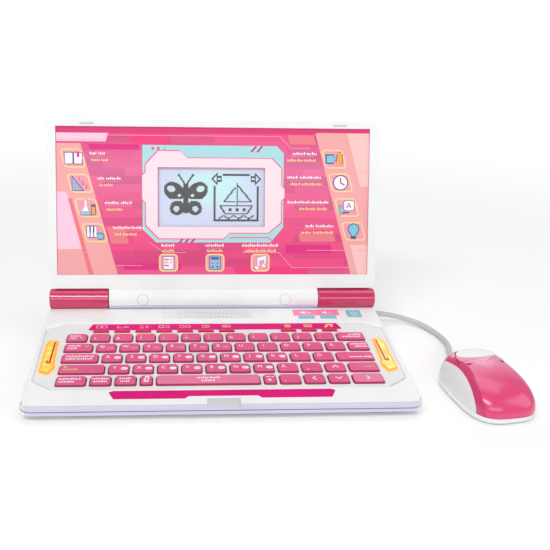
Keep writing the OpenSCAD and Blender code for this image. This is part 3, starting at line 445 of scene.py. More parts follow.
def round_edges(obj, width, place=None, weigh=None, segments=2):
    """Bevels the sharp edges. weigh gives an edge's share of width from its middle."""
    mesh = obj.data
    back = place.inverted() if place else Matrix.Identity(4)
    turn = {}
    for face in mesh.polygons:
        for key in face.edge_keys:
            turn.setdefault(key, []).append(face.normal)
    weights = mesh.attributes.get("bevel_weight_edge") or mesh.attributes.new(
        "bevel_weight_edge", "FLOAT", "EDGE")
    limit = math.cos(math.radians(sharp_edge))
    for edge in mesh.edges:
        normals = turn.get(edge.key, [])
        sharp = len(normals) == 2 and normals[0].dot(normals[1]) < limit
        middle = (mesh.vertices[edge.vertices[0]].co + mesh.vertices[edge.vertices[1]].co) / 2
        share = (weigh(back @ middle) if weigh else 1.0) if sharp else 0.0
        weights.data[edge.index].value = share
    pick(obj)
    bevel = obj.modifiers.new("edges", "BEVEL")
    bevel.limit_method = "WEIGHT"
    bevel.width = width * MM
    bevel.segments = segments
    bevel.use_clamp_overlap = True
    bevel.miter_outer = "MITER_ARC"
    bpy.ops.object.modifier_apply(modifier="edges")
    return even_shade(obj)


def rounded(node, width, material, body, place=DECK, weigh=None, segments=2, reshape=None):
    """The rounded copy that stands for a solid. reshape first moves its corners, in millimetres."""
    obj = copy_of(node, node + "_skin")
    if reshape:
        for vertex in obj.data.vertices:
            vertex.co = place @ reshape(place.inverted() @ vertex.co)
    obj = round_edges(obj, width, place, weigh, segments)
    return dress(obj, node + "_skin", material, body, [node])


print("helpers: round_edges, rounded")

# %% [markdown]
# ## Case
#
# The top case carries a shallow tray for the keys. On the real moulding the tray's wall is a
# sloping facet, not a step, so the corners of its upper rim are moved outwards before the
# edges are rounded. The outer rim is rounder than the rest, so it gets a bevel of its own.

# %% Top case with a sloping tray rim
def tray_corners(grow):
    """Corners of the key tray's outline, grown by some millimetres."""
    half = [(132 + grow, -36 + grow), (146.4 + grow, -45 + grow),
            (145 + grow, -127.3 - grow), (129 + grow, -139.3 - grow)]
    return half + [(-x, y) for x, y in reversed(half)]


case_half_w, case_front, case_corner, seam_z = 150, -163, 9, -4.5
tray_slope = 1.5
top = copy_of("top_case", "top_case_skin")
to_deck = DECK.inverted()
corners_moved = 0
for vertex in top.data.vertices:
    at = to_deck @ vertex.co
    for old, new in zip(tray_corners(0), tray_corners(tray_slope)):
        if abs(at.z) < 0.02 and (at.xy - Vector(old)).length < 0.1:
            vertex.co = DECK @ Vector((*new, at.z))
            corners_moved += 1


def on_rim(p):
    """Whether a point lies on the outer upper edge of the deck."""
    across, ahead = abs(p.x) - (case_half_w - case_corner), p.y - (case_front + case_corner)
    out = (math.hypot(across, ahead) - case_corner if across > 0 and ahead < 0
           else max(abs(p.x) - case_half_w, case_front - p.y))
    return abs(p.z) < 0.03 and abs(out) < 0.12 and p.y < 2


choose(top, "EDGE", lambda a, b: on_rim(to_deck @ a) and on_rim(to_deck @ b))
bpy.ops.mesh.bevel(offset=1.7 * MM, segments=3, affect="EDGES", clamp_overlap=False)
leave()
top = round_edges(top, 0.9, DECK, lambda p: 1.0 if abs(p.x) > 149 or p.y < -162 else 0.35)
dress(top, "top_case_skin", white, "base", ["top_case"])
print("top case:", corners_moved, "tray corners moved")

# %% [markdown]
# ## Painted shade on the front, and the parting line
#
# The faces of both shells that look forward get a painted lilac shade. The finger dish, the
# bevel of the front rim and the tray's rear wall get a painted grey shade. A dark line runs
# where the two shells meet. A painted pattern could do it, but these borders all run along the
# edges of faces. So single faces get another finish, chosen by their place and normal. The
# line itself is a closed curve with a fine round section, laid along the joint.

# %% Second finishes on the shells
front_way = Vector((0, -1, 0))
facing_front = 0.85  # cosine between a face's normal and the front, past which it gets the painted lilac shade
seam_shade = plastic("shade in the parting line", rgb(112, 110, 128), rough=0.6)
# painted grey shade on the finger dish, the front rim's bevel and the tray's rear wall
painted_grey_shade = plastic("painted grey shade", rgb(206, 207, 212), rough=0.5)


def tint_front(obj):
    """Painted lilac shade on forward faces, a dark parting line, and painted grey shade on the dish,
    rim bevel and tray wall.
    """
    for material in (painted_lilac_shade, seam_shade, painted_grey_shade):
        obj.data.materials.append(material)
    for face in obj.data.polygons:
        at = to_deck @ face.center
        n = (to_deck.to_3x3() @ face.normal).normalized()
        outer = abs(at.x) > case_half_w - 2.5 or at.y < case_front + 2.5
        in_seam = outer and abs(at.z - seam_z) < 1.0 and abs(n.z) > 0.15
        in_dish = at.y < -150 and -2.3 < at.z < -0.1 and abs(at.x) < 12.6 and n.z > 0.5
        on_front_rim = outer and at.y < -155 and at.z > -2 and n.z < 0.97
        on_tray_wall = not outer and -48 < at.y < -34 and -0.78 < at.z < -0.02 and n.y < -0.2
        if in_seam:
            face.material_index = 2
        elif in_dish:
            face.material_index = 3
        elif outer and face.normal.dot(front_way) > facing_front:
            face.material_index = 1
        elif on_front_rim or on_tray_wall:
            face.material_index = 3


tint_front(top)
bottom = rounded("bottom_case", 1.0, white, "base",
                 weigh=lambda p: 1.0 if abs(p.x) > 140 or abs(p.y + 76) > 70 else 0.2)
tint_front(bottom)
print("case shells:", len(top.data.polygons), "and", len(bottom.data.polygons), "faces")


# %% Fine lines, and the parting line
def thin_line(name, points, radius, place, material, body):
    """A closed fine line with a round section, for a parting line or a rim."""
    data = bpy.data.curves.new(name, "CURVE")
    data.dimensions = "3D"
    data.bevel_depth = radius
    loop = data.splines.new("POLY")
    loop.use_cyclic_u = True
    loop.points.add(len(points) - 1)
    for point, at in zip(loop.points, points):
        point.co = (*at, 1)
    obj = bpy.data.objects.new(name, data)
    scene.collection.objects.link(obj)
    pick(obj)
    bpy.ops.object.convert(target="MESH")
    return dress(even_shade(settle(obj, place), 60), name, material, body)


rear_corner = 3
seam_turns = ((case_half_w - case_corner, case_front + case_corner, case_corner, -90),
              (case_half_w - rear_corner, 8, rear_corner, 0),
              (rear_corner - case_half_w, 8, rear_corner, 90),
              (case_corner - case_half_w, case_front + case_corner, case_corner, 180))
seam_path = []
for cx, cy, r, first in seam_turns:
    seam_path += [(cx + r * math.cos(math.radians(first + 10 * k)),
                   cy + r * math.sin(math.radians(first + 10 * k)), seam_z) for k in range(10)]
thin_line("parting_line", seam_path, 0.3, DECK, seam_shade, "base")
print("parting line through", len(seam_path), "points")

# %% [markdown]
# ## Key plate and grille
#
# The plate round the keys is a slightly greyer white. The grille has slanted slots, open in
# the middle and only sunk towards its ends. The solid already has every slot. Its finish
# paints the shade inside them: it darkens below the surface of the deck, most in the open
# middle and less so with the distance from the middle. That way the slots read well without
# a single new face.

# %% Key plate and slotted grille
plate = rounded("keyboard_plate", 0.25, plate_white, "base")
# painted shade inside the grille's slots: darker below the deck's surface, less so away from the
# middle
slot_shade_white = white.copy()
slot_shade_white.name = "white with painted shade in slots"
nodes, links = slot_shade_white.node_tree.nodes, slot_shade_white.node_tree.links
in_deck = nodes.new("ShaderNodeMapping")
in_deck.vector_type = "TEXTURE"
in_deck.inputs["Location"].default_value = DECK.to_translation()
in_deck.inputs["Rotation"].default_value = (deck_tilt, 0, 0)
heights = nodes.new("ShaderNodeSeparateXYZ")
below = nodes.new("ShaderNodeMapRange")
below.inputs["From Min"].default_value = -0.15 * MM
below.inputs["From Max"].default_value = -0.5 * MM
shade = nodes.new("ShaderNodeMix")
shade.data_type = "RGBA"
shade.inputs["B"].default_value = rgb(70, 71, 76)
sideways = nodes.new("ShaderNodeMath")
sideways.operation = "ABSOLUTE"
open_share = nodes.new("ShaderNodeMapRange")
open_share.inputs["From Min"].default_value = 16 * MM
open_share.inputs["From Max"].default_value = 50 * MM
open_share.inputs["To Min"].default_value = 1.0
open_share.inputs["To Max"].default_value = 0.3
how_dark = nodes.new("ShaderNodeMath")
how_dark.operation = "MULTIPLY"
base_socket = shader_of(slot_shade_white).inputs["Base Color"]
wire(links,
     (nodes["Texture Coordinate"].outputs["Object"], in_deck.inputs["Vector"]),
     (in_deck.outputs[0], heights.inputs[0]),
     (heights.outputs["Z"], below.inputs["Value"]),
     (heights.outputs["X"], sideways.inputs[0]),
     (sideways.outputs[0], open_share.inputs["Value"]),
     (below.outputs[0], how_dark.inputs[0]),
     (open_share.outputs[0], how_dark.inputs[1]),
     (how_dark.outputs[0], shade.inputs["Factor"]),
     (base_socket.links[0].from_socket, shade.inputs["A"]),
     (shade.outputs["Result"], base_socket))


def finish_solid(node, material):
    """Gives a solid that stays as it is another finish."""
    frame["nodes"][node].data.materials.clear()
    frame["nodes"][node].data.materials.append(material)


finish_solid("speaker_grille", slot_shade_white)
finish_solid("battery_door", white)
print("key plate:", len(plate.data.polygons), "faces")

# %% [markdown]
# ## Hinge
#
# Two glossy pink barrels sit on the case, and a white one belongs to the lid and turns
# between them. Only their ends need rounding, and the pink ones are drawn in a little so
# that they clear the lid. Two round plugs hide the screws of the white barrel. The seat of
# each plug shows as a fine grey ring, bent over the barrel, so it is a curve again.

# %% Hinge barrels and plugs
barrel_skin_r, barrel_r = 9.6, 10.08
both_sides = ((-1, "left"), (1, "right"))


def slimmer(p):
    """Draws a barrel's skin in a little towards the hinge line."""
    arm = Vector((p.y, p.z - axis_h))
    share = barrel_skin_r / arm.length if arm.length > 9 else 1
    return Vector((p.x, arm.x * share, arm.y * share + axis_h))


for _, word_of_side in both_sides:
    rounded("hinge_barrel_" + word_of_side, 1.5, barrel, "base", DECK,
            lambda p: 1.0 if abs(p.x) > 149 else 0.5, 3, slimmer)
rounded("hinge_screw_plugs", 0.3, white, "lid", LID)

rim_grey = plastic("plug rim grey", rgb(186, 186, 192), rough=0.5)
plug_x, plug_r, rim_steps = 65.5, 5, 40
for side, word_of_side in both_sides:
    rim = [(side * plug_x + plug_r * math.cos(t),
            -math.sqrt(barrel_r**2 - (plug_r * math.sin(t))**2), plug_r * math.sin(t))
           for t in (math.tau * k / rim_steps for k in range(rim_steps))]
    thin_line("plug_rim_" + word_of_side, rim, 0.2, LID, rim_grey, "lid")
print("two pink barrels, two plugs and their rims")

# %% [markdown]
# ## Lid
#
# The lid is two mouldings that meet in a fine parting line. The front frame has soft outer
# edges and a crisp inner edge round the printed plate, and the back cover is rounder still.
# The frame also carries the white barrel, whose underside gets the same painted lilac shade as the
# case's front.

# %% Lid front frame and back cover
def lid_roundness(p):
    """Share of the bevel for an edge of the lid, from its place."""
    if abs(p.y) < 0.3:
        return 0.1
    outer = abs(p.x) > 143.5 or p.z > 157 or (p.z < 17 and abs(p.x) > 95)
    return 1.0 if outer else 0.25


def reach_down(p):
    """Brings the lid's lower edges close to the barrels."""
    return Vector((p.x, p.y, 10.1)) if 10.7 < p.z < 10.9 and abs(p.x) > 96.5 else p


bezel = rounded("lid_bezel", 1.8, white, "lid", LID, lid_roundness, 3, reach_down)
# painted lilac shade on the faces of the white barrel that look down
bezel.data.materials.append(painted_lilac_shade)
to_lid = LID.inverted()
for face in bezel.data.polygons:
    at = to_lid @ face.center
    on_barrel = at.xz.length < 99 and math.hypot(at.y, at.z) > 9.6
    if on_barrel and at.z < -1 and face.normal.z < -0.3:
        face.material_index = 1
rounded("lid_cover", 2.2, white, "lid", LID, lid_roundness, 3, reach_down)
rounded("lid_bumpers", 0.3, grey, "lid", LID)
print("lid frame:", len(bezel.data.polygons), "faces")

# %% [markdown]
# ## The lead as a tube
#
# A lead is a curve with a round bevel. It is turned into a mesh here, because the mouse can
# slide away from the case and the lead has to bend between the two.

# %% Lead tube with its two ends
glands = [rounded("lead_gland", 0.35, soft_grey, "base"),
          rounded("mouse_gland", 0.35, soft_grey, "mouse")]
curve = bpy.data.curves.new("mouse_lead_line", "CURVE")
curve.dimensions = "3D"
curve.bevel_depth = lead_d / 2 * MM
curve.bevel_resolution = 5
curve.use_fill_caps = True
line = curve.splines.new("POLY")
line.points.add(len(lead_path) - 1)
for point, place in zip(line.points, lead_path):
    point.co = (*place, 1)
lead = bpy.data.objects.new("lead_tube", curve)
scene.collection.objects.link(lead)
pick(lead)
bpy.ops.object.convert(target="MESH")
settle(lead, Matrix.Identity(4), 0.00001)
even_shade(lead, 50)
lead.name = lead.data.name = "lead_tube"
lead.data.materials.clear()
lead.data.materials.append(soft_grey)
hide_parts("mouse_lead")
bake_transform(lead)
print("lead tube:", len(lead.data.polygons), "faces")

# %% [markdown]
# ## Key caps
#
# A cap is a small tray turned over: rounded corners, sides that lean in, a soft rim and a top
# that is dished a little for the finger. One cap is modelled for each width and copied to
# every place where that width is needed. The caps of a row are then joined, because the row
# moves as one.

# %% Sizes of the keyboard
key_pitch, row_pitch, key_gap, key_d = 19.2, 16.6, 2.7, 13.0
keys_back, row_units = 55.9, 13.43  # from the hinge to the first row, and a row in pitches
key_top, key_low, key_r, key_taper = 1.0, -2.25, 2.2, 0.6
ones = [1.0] * 11
rows = [[1.04, *ones, 1.39], [1.37, *ones, 1.06], [1.68, *ones[:10], 1.75],
        [2.02, *ones[:10], 1.41], [1.35, 1, 1, 0.65, 4.35, 0.65, 1, 1, 1, 1.43]]
field_w = row_units * key_pitch - key_gap


def key_place(row, i):
    """Left edge, front edge and width of a key on the deck."""
    before = sum(rows[row][:i])
    units = row_units - before if i == len(rows[row]) - 1 else rows[row][i]
    return (-field_w / 2 + key_pitch * before, -keys_back - key_d - row * row_pitch,
            key_pitch * units - key_gap)


print(sum(len(row) for row in rows), "keys in a field", round(field_w, 1), "mm wide")


# %% One cap for each width
rim_r, dish_step = 0.55, 0.6


def key_cap(width):
    """A key cap of some width, with its front left corner at the origin."""
    bpy.ops.object.select_all(action="DESELECT")
    bpy.ops.mesh.primitive_cube_add(size=1, location=(width / 2, key_d / 2, (key_top + key_low) / 2))
    cap = bpy.context.object
    cap.scale = (width, key_d, key_top - key_low)
    pick(cap)
    bpy.ops.object.transform_apply(location=True, rotation=True, scale=True)
    choose(cap, "EDGE", lambda a, b: abs(a.z - b.z) > 1)
    bpy.ops.mesh.bevel(offset=key_r, segments=5, affect="EDGES")
    leave()
    choose(cap, "VERT", lambda p: p.z > key_top - 0.01)
    bpy.ops.transform.resize(value=(1 - 2 * key_taper / width, 1 - 2 * key_taper / key_d, 1),
                             center_override=(width / 2, key_d / 2, key_top))
    leave()
    choose(cap, "EDGE", lambda a, b: min(a.z, b.z) > key_top - 0.01)
    bpy.ops.mesh.bevel(offset=rim_r, segments=3, affect="EDGES")
    leave()
    choose(cap, "FACE", lambda c, n: n.z > 0.999)
    bpy.ops.mesh.inset(thickness=dish_step, depth=-0.05)
    bpy.ops.mesh.inset(thickness=dish_step, depth=-0.04)
    leave()
    return cap


cap_of_width = {}


def key_copy(row, i):
    """A copy of the cap with the right width, moved to its place on the deck."""
    x, front, width = key_place(row, i)
    width = round(width, 3)
    if width not in cap_of_width:
        cap = key_cap(width)
        cap_of_width[width] = cap.data.copy()
        bpy.data.objects.remove(cap)
    obj = bpy.data.objects.new("key", cap_of_width[width].copy())
    scene.collection.objects.link(obj)
    obj.data.transform(Matrix.Translation((x, front, 0)))
    return obj


def join(objects, name):
    """Joins objects into one."""
    pick(objects[0])
    for obj in objects:
        obj.select_set(True)
    if len(objects) > 1:
        bpy.ops.object.join()
    objects[0].name = objects[0].data.name = name
    return objects[0]


print("helpers: key_cap, key_copy, join")

# %% Rows of keys
key_bodies = {}
special = {(4, 4): "space_bar", (2, 11): "enter_key", (3, 10): "up_key", (4, 7): "left_key",
           (4, 8): "down_key", (4, 9): "right_key"}
for row, widths in enumerate(rows):
    plain = [i for i in range(len(widths)) if (row, i) not in special]
    node = "keys_row%d" % (row + 1)
    caps = join([key_copy(row, i) for i in plain], node + "_caps")
    key_bodies.update({(row, i): node + "_body" for i in plain})
    dress(even_shade(settle(caps, DECK)), node + "_caps", key_pink, node + "_body",
          [node])
for (row, i), node in special.items():
    key_bodies[row, i] = node + "_body"
    cap = settle(key_copy(row, i), DECK)
    pale = node in ("space_bar", "right_key")
    dress(even_shade(cap), node + "_cap", key_pale if pale else key_pink, node + "_body",
          [node])


def shade_sides(obj):
    """Gives the upright faces of a key a painted shade in deeper pink."""
    obj.data.materials.append(key_side_shade)
    for face in obj.data.polygons:
        if face.normal.z < 0.6:
            face.material_index = 1


for obj in [o for o in scene.objects if o.type == "MESH" and o.name.endswith(("_caps", "_cap"))]:
    shade_sides(obj)
print(len(key_bodies), "keys in", len(cap_of_width), "widths")

# %% [markdown]
# ## Printing
#
# Signs and pictures on the real toy are screen printed: thin flat layers of ink in a few
# colours. Here a print is a set of closed outlines in one flat curve. Blender fills them, so
# that an outline inside another makes a hole. The curve gets a hair of thickness, becomes a
# mesh and is laid on its surface. Layers that cross each other get different heights.

# %% Outlines: moving, turning, slanting and sizing
def moved(shape, dx, dy):
    """A shape shifted by dx and dy."""
    return [(x + dx, y + dy) for x, y in shape]


def turned(shape, degrees):
    """A shape turned round the origin."""
    c, s = math.cos(math.radians(degrees)), math.sin(math.radians(degrees))
    return [(x * c - y * s, x * s + y * c) for x, y in shape]


def leaned(shape, lean, cy):
    """Slants a shape sideways, lean for each unit of height above cy."""
    return [(x + lean * (y - cy), y) for x, y in shape]


def sized(shape, share):
    """A shape made larger or smaller about the origin."""
    return [(share * x, share * y) for x, y in shape]


print("helpers: moved, turned, leaned, sized")


# %% Outlines: bars, ovals, lines and words
def bar(x, y, w, h, r=0.0):
    """A rectangle round its centre, with rounded corners where r is given."""
    if r <= 0:
        return [(x - w / 2, y - h / 2), (x + w / 2, y - h / 2),
                (x + w / 2, y + h / 2), (x - w / 2, y + h / 2)]
    r = min(r, w / 2, h / 2)
    corners = [(x + w / 2 - r, y - h / 2 + r, -90), (x + w / 2 - r, y + h / 2 - r, 0),
               (x - w / 2 + r, y + h / 2 - r, 90), (x - w / 2 + r, y - h / 2 + r, 180)]
    return [(cx + r * math.cos(math.radians(a + 22.5 * k)),
             cy + r * math.sin(math.radians(a + 22.5 * k))) for cx, cy, a in corners for k in range(5)]


def oval(x, y, rx, ry=None, n=24, start=0, end=360):
    """An oval of n sides, or the part of it from one angle to another."""
    ry = rx if ry is None else ry
    steps = n if end - start >= 360 else n + 1
    return [(x + rx * math.cos(math.radians(start + (end - start) * k / n)),
             y + ry * math.sin(math.radians(start + (end - start) * k / n))) for k in range(steps)]


def stroke(points, width):
    """A line with a width, as one outline with mitred corners."""
    pts = [Vector(p) for p in points]
    left, right = [], []
    for i, p in enumerate(pts):
        before = (p - pts[i - 1]).normalized() if i else (pts[1] - p).normalized()
        after = (pts[i + 1] - p).normalized() if i < len(pts) - 1 else before
        along = (before + after).normalized()
        side = Vector((-along.y, along.x)) * (width / 2 / max(0.35, along.dot(after)))
        left.append(p + side)
        right.append(p - side)
    return [tuple(v) for v in left + right[::-1]]


def word(x, y, length, height, beat=0):
    """A row of small blocks that reads as a word from afar and says nothing."""
    shapes, at, k = [], x, beat
    while at < x + length - height * 0.3:
        w = height * (0.5, 0.4, 0.62, 0.24, 0.52, 0.44)[k % 6]
        tall = height * (1.0, 0.78, 0.78, 1.15, 0.8, 0.78, 1.1)[k % 7]
        w = min(w, x + length - at)
        shapes.append(bar(at + w / 2, y - height / 2 + tall / 2, w, tall, height * 0.16))
        at += w + height * 0.28
        k += 1
    return shapes


print("helpers: bar, oval, stroke, word")


# %% One layer of ink
ink_h = 0.03


def ink_top(level):
    """Height of the upper side of a layer of ink over its surface."""
    return ink_h + ink_h * level


def ink(shapes, name, place, level=0, low=-0.06):
    """A thin closed print of some outlines, level layers above its surface."""
    flat = bpy.data.curves.new(name, "CURVE")
    flat.dimensions = "2D"
    flat.fill_mode = "BOTH"
    flat.extrude = (ink_top(level) - low) / 2
    for shape in shapes:
        line = flat.splines.new("POLY")
        line.points.add(len(shape) - 1)
        for point, (x, y) in zip(line.points, shape):
            point.co = (x, y, 0, 1)
        line.use_cyclic_u = True
    obj = bpy.data.objects.new(name, flat)
    scene.collection.objects.link(obj)
    pick(obj)
    bpy.ops.object.convert(target="MESH")
    obj.data.transform(Matrix.Translation((0, 0, (ink_top(level) + low) / 2)))
    return settle(obj, place, 0.0005)


def letter(text, x, y, size, place, level=0, low=-0.06):
    """A printed sign in the built-in font, centred on its place."""
    bpy.ops.object.select_all(action="DESELECT")
    bpy.ops.object.text_add(location=(0, 0, 0))
    obj = bpy.context.object
    obj.data.body = text
    obj.data.size = size
    obj.data.resolution_u = 3
    obj.data.extrude = (ink_top(level) - low) / 2
    obj.data.align_x, obj.data.align_y = "CENTER", "CENTER"
    bpy.ops.object.convert(target="MESH")
    obj.data.transform(Matrix.Translation((x, y, (ink_top(level) + low) / 2)))
    return settle(obj, place, 0.0005)


print("layers of ink are", ink_h, "mm apart")

# %% Inks
ink_colours = {
    "white": (250, 248, 252), "cream": (252, 222, 150), "lime": (196, 200, 110),
    "peach": (245, 170, 170), "pale peach": (251, 200, 196), "salmon": (238, 122, 132),
    "blush": (250, 205, 226), "pale frame": (253, 228, 236), "cyan": (172, 224, 230),
    "hot pink": (240, 44, 124), "deep pink": (222, 40, 116), "rose": (236, 104, 152),
    "magenta": (226, 14, 130), "plum": (196, 28, 118), "night": (84, 78, 140),
    "sky": (150, 196, 228), "aqua": (120, 206, 222), "orange": (246, 170, 52),
    "tile": (240, 160, 178), "black": (22, 22, 30),
}
print_ink = {name: plastic(name + " ink", rgb(*colour), rough=0.4, drift=0.03, grain=0.05)
             for name, colour in ink_colours.items()}
print(len(print_ink), "inks")

# %% [markdown]
# ## The printed faceplate
#
# The plate in the lid is the toy's showpiece. Its ground is a pink that changes from the
# bottom to the top and is broken into level blocks. A material does that: a colour ramp over
# the height on the lid, times a brick pattern with no mortar. Separate prints could do it too,
# but they would need many small shapes for something that is only a ground. Bands, a pale
# frame round the display and eleven picture tiles are printed over it.

# %% Blocky ground of the faceplate
ground = plastic("faceplate ground", rgb(238, 84, 140), rough=0.36)
nodes, links = ground.node_tree.nodes, ground.node_tree.links
place = nodes.new("ShaderNodeTexCoord").outputs["Object"]
along_lid = nodes.new("ShaderNodeMapping")
along_lid.inputs["Rotation"].default_value = (-lid_turn, 0, 0)
along_lid.inputs["Scale"].default_value = (1000, 1000, 1000)
along_lid.inputs["Location"].default_value = -(Matrix.Rotation(-lid_turn, 3, "X") @ hinge) * 1000
parts = nodes.new("ShaderNodeSeparateXYZ")
blocks = nodes.new("ShaderNodeTexBrick")
for socket, value in (("Scale", 1), ("Mortar Size", 0), ("Brick Width", 74), ("Row Height", 7.5),
                      ("Bias", -0.1), ("Color1", rgb(255, 255, 255)), ("Color2", rgb(222, 222, 232))):
    blocks.inputs[socket].default_value = value
blocks.offset, blocks.offset_frequency, blocks.squash, blocks.squash_frequency = 0.37, 2, 0.55, 3
swap = nodes.new("ShaderNodeCombineXYZ")
level = nodes.new("ShaderNodeMapRange")
level.inputs["From Min"].default_value = 20
level.inputs["From Max"].default_value = 160
tone = nodes.new("ShaderNodeValToRGB")
pinks = [(0.0, (236, 92, 142)), (0.1, (240, 60, 134)), (0.28, (244, 72, 134)), (0.5, (240, 92, 146)),
         (0.72, (238, 110, 160)), (0.86, (236, 84, 142)), (1.0, (236, 44, 122))]
for k, (at, colour) in enumerate(pinks):
    stop = tone.color_ramp.elements[k] if k < 2 else tone.color_ramp.elements.new(at)
    stop.position = at
    stop.color = rgb(*colour)
both_tones = nodes.new("ShaderNodeMix")
both_tones.data_type = "RGBA"
both_tones.blend_type = "MULTIPLY"
both_tones.inputs["Factor"].default_value = 1
wire(links,
     (place, along_lid.inputs["Vector"]),
     (along_lid.outputs[0], parts.inputs[0]),
     (parts.outputs["X"], swap.inputs["X"]),
     (parts.outputs["Z"], swap.inputs["Y"]),
     (swap.outputs[0], blocks.inputs["Vector"]),
     (parts.outputs["Z"], level.inputs["Value"]),
     (level.outputs[0], tone.inputs["Fac"]),
     (tone.outputs["Color"], both_tones.inputs["A"]),
     (blocks.outputs["Color"], both_tones.inputs["B"]),
     (both_tones.outputs["Result"], shader_of(ground).inputs["Base Color"]))
faceplate = rounded("faceplate", 0.12, ground, "lid", LID)
print("faceplate:", len(pinks), "pinks on", len(faceplate.data.polygons), "faces")

# %% [markdown]
# ## Bands, blocks and tracks
#
# Slanted bands in peach and pale pink stand at both ends of the plate, with brighter blocks
# and a few thin tracks between them. Each is a print of straight sided outlines. They cross
# each other, so the lower ones get a lower layer, and the tracks lie on top.

# %% Bands and blocks
FACE = LID @ Matrix.Translation((0, -3.4, 0)) @ Matrix.Rotation(math.radians(90), 4, "X")
left, right, low, high = -142.6, 142.6, 23.0, 156.2


def print_face(shapes, name, colour, level=0):
    """Prints shapes on the faceplate."""
    return dress(ink(shapes, name, FACE, level), name, print_ink[colour], "lid")


print_face([[(left, high), (left, 151.2), (right, 151.2), (right, high)]], "top_band", "deep pink")
print_face([[(left, 141.5), (-121, 141.5), (-88.4, low), (left, low)]], "left_band", "peach")
print_face([[(92.6, 152.6), (right, 152.6), (right, low), (127.4, low)]], "right_band", "peach", 1)
print_face([[(left, 98), (-134, 98), (-119.2, 46), (left, 46)],
            [(left, 150.8), (-96, 150.8), (-98.4, 143.2), (left, 143.2)]], "left_panels", "blush", 1)
print_face([[(-132.6, 92), (-129.2, 92), (-110.4, low), (-114.6, low)]], "left_stripe", "salmon", 2)
print_face([[(122, 152.4), (right, 152.4), (right, 104), (135.2, 104)],
            [(134, low), (right, low), (right, 50), (126.8, 50)]], "right_panels", "pale peach", 2)
print_face([[(-78, 151), (-42, 151), (-38.6, 141.6), (-75.4, 141.6)],
            [(18, 30), (86, 30), (88, low), (20, low)]], "hot_blocks", "hot pink", 1)
print_face([[(-84, 33), (-30, 33), (-30, 27), (-82.4, 27)],
            [(66, 50), (108, 50), (110, 42), (66, 42)],
            [(-114, 141), (-68, 141), (-68, 136), (-112.6, 136)]], "plum_bars", "magenta")
print_face([[(78, 60), (111, 60), (113, 53), (80, 53)],
            [(-98, 66), (-82, 66), (-78, 51), (-94, 51)],
            [(67, 150.4), (91, 150.4), (93.4, 142), (69, 142)]], "salmon_blocks", "salmon", 1)
print("print area", right - left, "x", round(high - low, 1), "mm")

# %% Thin tracks
tracks = [[(left, 144.6), (-101, 144.6), (-98.2, 149), (60, 149), (70, 138.6), (88, 138.6)],
          [(left, 43), (-98, 43), (-94, 31), (-66, 31)],
          [(-60, 52.4), (-46, 43), (-26, 43)], [(26, 43), (60, 43), (72, 29), (126, 29)],
          [(86, 45), (right, 45)], [(left, 118), (-130, 118)], [(126, 118), (right, 118)]]
print_face([stroke(track, 0.5) for track in tracks], "tracks", "peach", 3)
print(len(tracks), "tracks printed")

# %% [markdown]
# ## Frame round the display
#
# A pale frame with stepped corners surrounds the display, edged in rose over a cyan ground.
# The edge and the face come from one outline, grown by different amounts, so the border
# stays even all the way round. An outline inside each leaves the display's opening free.

# %% Frame, its ground and its small marks
frame_plan = [(-62, 122.5), (-50.6, 134.6), (-31, 134.6), (-24.6, 128.4), (52, 128.4), (61, 119.6),
              (61, 104.6), (64, 101.4), (64, 93.6), (61, 90.4), (61, 71), (49.4, 61.6), (14, 61.6),
              (8.6, 56.4), (-50, 56.4), (-62, 68.4), (-62, 88.4), (-65.2, 91.8), (-65.2, 112.6),
              (-62, 115.8)]
opening = bar(-2.6, 93.55, 98.2, 54.1)
wide_opening = bar(-2.6, 93.55, 98.6, 54.5)


def grown(shape, by):
    """A shape whose corners move outwards from its middle by some millimetres each way."""
    xs, ys = [p[0] for p in shape], [p[1] for p in shape]
    cx, cy = (min(xs) + max(xs)) / 2, (min(ys) + max(ys)) / 2
    kx, ky = 1 + 2 * by / (max(xs) - min(xs)), 1 + 2 * by / (max(ys) - min(ys))
    return [(cx + (x - cx) * kx, cy + (y - cy) * ky) for x, y in shape]


ground_plan = [(-65.4, 140.4), (57, 140.4), (63.6, 133.8), (63.6, 66), (52, 52.2), (-53, 52.2),
               (-65.4, 64)]
print_face([ground_plan, wide_opening], "frame_ground", "cyan", 1)
print_face([grown(frame_plan, 1.5), wide_opening], "frame_edge", "rose", 2)
print_face([grown(frame_plan, 0.5), opening], "frame_face", "pale frame", 3)
hatches = ((36, 137.4, 5.4), (41.4, 137.4, 5.4),
           (-30, 54.2, 4.2), (-24.6, 54.2, 4.2), (-19.2, 54.2, 4.2))
print_face([leaned(bar(x, y, 2.2, h), 0.8, y) for x, y, h in hatches], "frame_hatch", "plum", 2)
print_face([stroke([(14, 56.6), (50, 56.6), (53, 54.4)], 1.0), oval(-56, 137.4, 1.5),
            oval(-51, 137.4, 1.5), stroke([(-46.6, 136), (-43.8, 138.8)], 0.6)],
           "frame_marks", "rose", 4)
print("frame of", len(frame_plan), "corners printed")

# %% [markdown]
# ## Picture tiles
#
# Each tile is a rounded slanted patch with a cream rim. Its picture is drawn in four layers:
# a dark shape, the fills inside it, details on the fills, and small signs on top. All the
# pictures share these layers, so eleven tiles need only a few prints.

